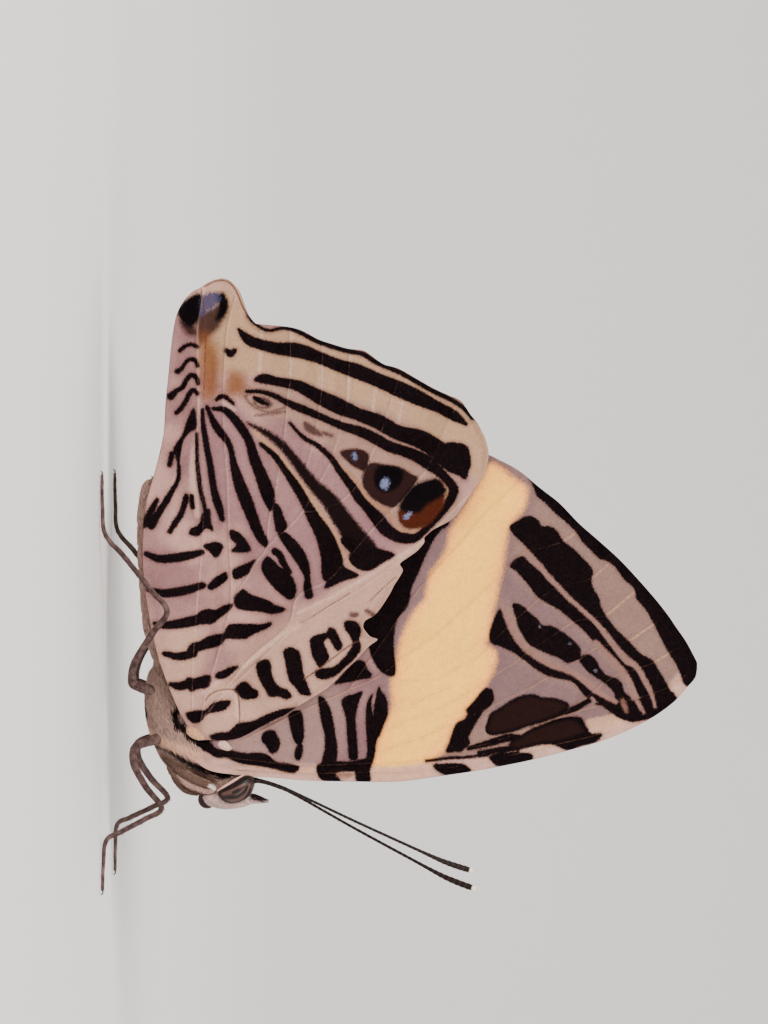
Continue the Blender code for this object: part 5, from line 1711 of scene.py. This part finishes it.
def coat_material(name, ground, light, marks):
    """Ground mixed by each blade's own number, then marks, then painted shade that darkens the roots."""
    material, tree, shader = fresh_material(name, 0.75, 0.12)
    jitter = attribute(tree, "jitter")
    colour = mix(tree, jitter, ground, light)
    for field, low, high, tint, cover in marks:
        shift = number(tree, "MULTIPLY", number(tree, "SUBTRACT", jitter, 0.5), 0.16)
        mask = ramp(tree, number(tree, "ADD", attribute(tree, field), shift), low, high)
        colour = mix(tree, number(tree, "MULTIPLY", mask, cover), colour, tint)
    # Painted shade: the colour falls from 1.08 at a blade's tip to 0.66 at its root and on the skin below
    depth = number(tree, "SUBTRACT", 1.08, number(tree, "MULTIPLY", attribute(tree, "root_shade"), 0.42))
    colour = mix(tree, 1.0, colour, depth, "MULTIPLY")
    tree.links.new(colour, shader.inputs["Base Color"])
    bump(tree, shader, noise(tree, GRAIN, 3.0), SCALE_BUMP, 0.5)
    return material


BODY_FUR = coat_material("body_fur", srgb(150, 118, 108), srgb(196, 164, 150), [
    ("back", 0.35, 0.9, srgb(46, 28, 22), 1.0),
    ("crown", 0.05, -0.05, srgb(60, 36, 30), 0.9),
    ("olive", 0.10, -0.10, srgb(112, 86, 73), 0.95),
    ("peach", 0.10, -0.10, srgb(232, 182, 157), 0.95),
    ("dark", 0.08, -0.05, srgb(18, 8, 8), 1.0),
])
PALP_SCALES = coat_material("palp_scales", srgb(176, 140, 136), srgb(214, 186, 178), [
    ("dark", 0.10, -0.12, srgb(24, 12, 12), 1.0),
])
for piece in [body] + body_coats:
    piece.data.materials.append(BODY_FUR)
PALE_SCALES = coat_material("pale_scales", srgb(200, 156, 142), srgb(226, 190, 176), [])
PEACH_SCALES = coat_material("peach_scales", srgb(186, 138, 104), srgb(222, 178, 140), [])
for (kind, piece), fur in zip(pads, pad_coats):
    for part in (piece, fur):
        part.data.materials.append(PEACH_SCALES if kind == "knob" else PALE_SCALES)
for piece, side in eye_rims:
    piece.data.materials.append(PALE_SCALES)
for piece, side in palps + palp_skins:
    piece.data.materials.append(PALP_SCALES)


def leg_material(name, dark, light, spot):
    """Two mottled tones, paler patches and a fine grain."""
    material, tree, shader = fresh_material(name, 0.6, 0.2)
    colour = mix(tree, ramp(tree, noise(tree, 2200.0, 3.0), 0.3, 0.7), dark, light)
    colour = mix(tree, ramp(tree, noise(tree, 600.0, 1.0), 0.55, 0.8), colour, spot)
    tree.links.new(colour, shader.inputs["Base Color"])
    bump(tree, shader, noise(tree, GRAIN, 3.0), SCALE_BUMP, 0.6)
    return material


def antenna_material():
    """Dark brown with thin pale rings along the shaft, and a cream tip."""
    material, tree, shader = fresh_material("antenna", 0.55, 0.15)
    run = attribute(tree, "run")
    phase = number(tree, "FRACT", number(tree, "DIVIDE", run, SHAFT_RING))
    ring = ramp(tree, phase, 0.78, 0.86)
    colour = mix(tree, number(tree, "MULTIPLY", ring, 0.45), srgb(17, 8, 7), srgb(76, 50, 40))
    tip = ramp(tree, run, ANTENNA_LENGTH - 0.34, ANTENNA_LENGTH - 0.24)
    colour = mix(tree, tip, colour, srgb(240, 220, 196))
    tree.links.new(colour, shader.inputs["Base Color"])
    return material


FACETS_PER_METRE, FACET_BUMP = 26000.0, 0.00001


def eye_material():
    """Brown with dark and pale curved stripes under a clear gloss, and a net of tiny facets."""
    material, tree, shader = fresh_material("eye", 0.5, 0.22)
    colour = mix(tree, ramp(tree, noise(tree, 1500.0, 2.0), 0.3, 0.7), srgb(40, 24, 21), srgb(54, 34, 29))
    colour = mix(tree, ramp(tree, attribute(tree, "pale"), 0.04, -0.04), colour, srgb(80, 55, 47))
    colour = mix(tree, ramp(tree, attribute(tree, "dark"), 0.03, -0.02), colour, srgb(16, 6, 6))
    colour = mix(tree, ramp(tree, attribute(tree, "rim"), 0.93, 0.99), colour, srgb(24, 12, 10))
    tree.links.new(colour, shader.inputs["Base Color"])
    shader.inputs["Coat Weight"].default_value = 0.06
    shader.inputs["Coat Roughness"].default_value = 0.12
    facets = texture(tree, "ShaderNodeTexVoronoi", FACETS_PER_METRE)
    bump(tree, shader, number(tree, "SUBTRACT", 1.0, facets.outputs["Distance"]), FACET_BUMP, 0.5)
    return material


def tongue_material():
    """Dark brown horn with a fine cross grain."""
    material, tree, shader = fresh_material("horn", 0.4, 0.4)
    ring = number(tree, "FRACT", number(tree, "DIVIDE", attribute(tree, "run"), 0.08))
    colour = mix(tree, ramp(tree, ring, 0.6, 0.9), srgb(34, 16, 12), srgb(62, 34, 26))
    tree.links.new(colour, shader.inputs["Base Color"])
    return material


tongue.data.materials.append(tongue_material())
HORN = tongue.data.materials[0]
for piece in claws:
    piece.data.materials.append(HORN)
LEG_MATERIAL = leg_material("leg_scales", srgb(62, 44, 42), srgb(104, 80, 76), srgb(136, 108, 100))
FORELEG_MATERIAL = coat_material("foreleg_scales", srgb(150, 117, 104), srgb(198, 162, 148), [
    ("thigh", 0.06, -0.06, srgb(92, 70, 60), 0.9), ("knee", 0.05, -0.05, srgb(240, 218, 208), 0.95)])
ANTENNA_MATERIAL, EYE_MATERIAL = antenna_material(), eye_material()
for piece in leg_skins + leg_coats + leg_spines:
    piece.data.materials.append(FORELEG_MATERIAL if piece.name.startswith("foreleg") else LEG_MATERIAL)
for piece, side in antennae:
    piece.data.materials.append(ANTENNA_MATERIAL)
for piece, side in eyes:
    piece.data.materials.append(EYE_MATERIAL)
print("materials:", sorted(m.name for m in bpy.data.materials))

# %% [markdown]
# The stage is a pale sheet that is flat under the model and curves up far away, so that it has no
# visible edge. The large soft lights stand behind the camera and above the model, because small hard
# ones would put glints on the scales.

# %% Floor and light
FLAT, SWEEP_UP, WALL_TOP, SEGMENTS = 0.5, 0.6, 1.6, 96


def make_floor():
    """A disc turned about the vertical: flat to 0.5 m, then a quarter circle of radius 0.6 m up."""
    turns = np.linspace(0, 2 * np.pi, SEGMENTS + 1)[:-1]
    rise = np.linspace(0, np.pi / 2, 17)[1:]
    wall = FLAT + SWEEP_UP
    radius = np.concatenate([[0.5 * FLAT, FLAT], FLAT + SWEEP_UP * np.sin(rise), [wall]])[:, None]
    height = np.concatenate([[0, 0], SWEEP_UP * (1 - np.cos(rise)), [WALL_TOP]])[:, None]
    rings = np.stack([radius * np.cos(turns), radius * np.sin(turns), height + 0 * turns], axis=-1)
    index = grid_index(len(rings), SEGMENTS)
    right = np.roll(index, -1, axis=1)
    middle = [tuple(index[0, ::-1].tolist())]
    mesh = bpy.data.meshes.new("floor")
    sides = quad_faces(index[:-1], right[:-1], right[1:], index[1:])
    mesh.from_pydata(rings.reshape(-1, 3).tolist(), [], middle + sides)
    mesh.shade_smooth()
    mesh.flip_normals()
    floor = add_object("floor", mesh)
    material, tree, shader = fresh_material("floor", 0.9, 0.1)
    shader.inputs["Base Color"].default_value = srgb(226, 224, 222)
    mesh.materials.append(material)
    return floor


def soft_light(name, place, size, power, tint):
    """A square area light that faces the model."""
    light = bpy.data.lights.new(name, "AREA")
    light.size, light.energy, light.color = size, power, tint[:3]
    lamp = add_object(name, light)
    lamp.location = place
    aim = mathutils.Vector((0, 0, 0.02)) - lamp.location
    lamp.rotation_euler = aim.to_track_quat("-Z", "Y").to_euler()
    return lamp


floor = make_floor()
soft_light("key", (-0.35, -0.55, 0.55), 0.5, 10.5, srgb(255, 250, 244))
soft_light("fill", (0.5, -0.5, 0.25), 0.6, 3.6, srgb(244, 246, 255))
soft_light("rim", (0.0, 0.6, 0.7), 0.5, 4.0, srgb(255, 252, 246))
world = bpy.data.worlds.new("shade")
world.use_nodes = True
world.node_tree.nodes["Background"].inputs["Color"].default_value = srgb(232, 236, 240)
world.node_tree.nodes["Background"].inputs["Strength"].default_value = 0.7
bpy.context.scene.world = world
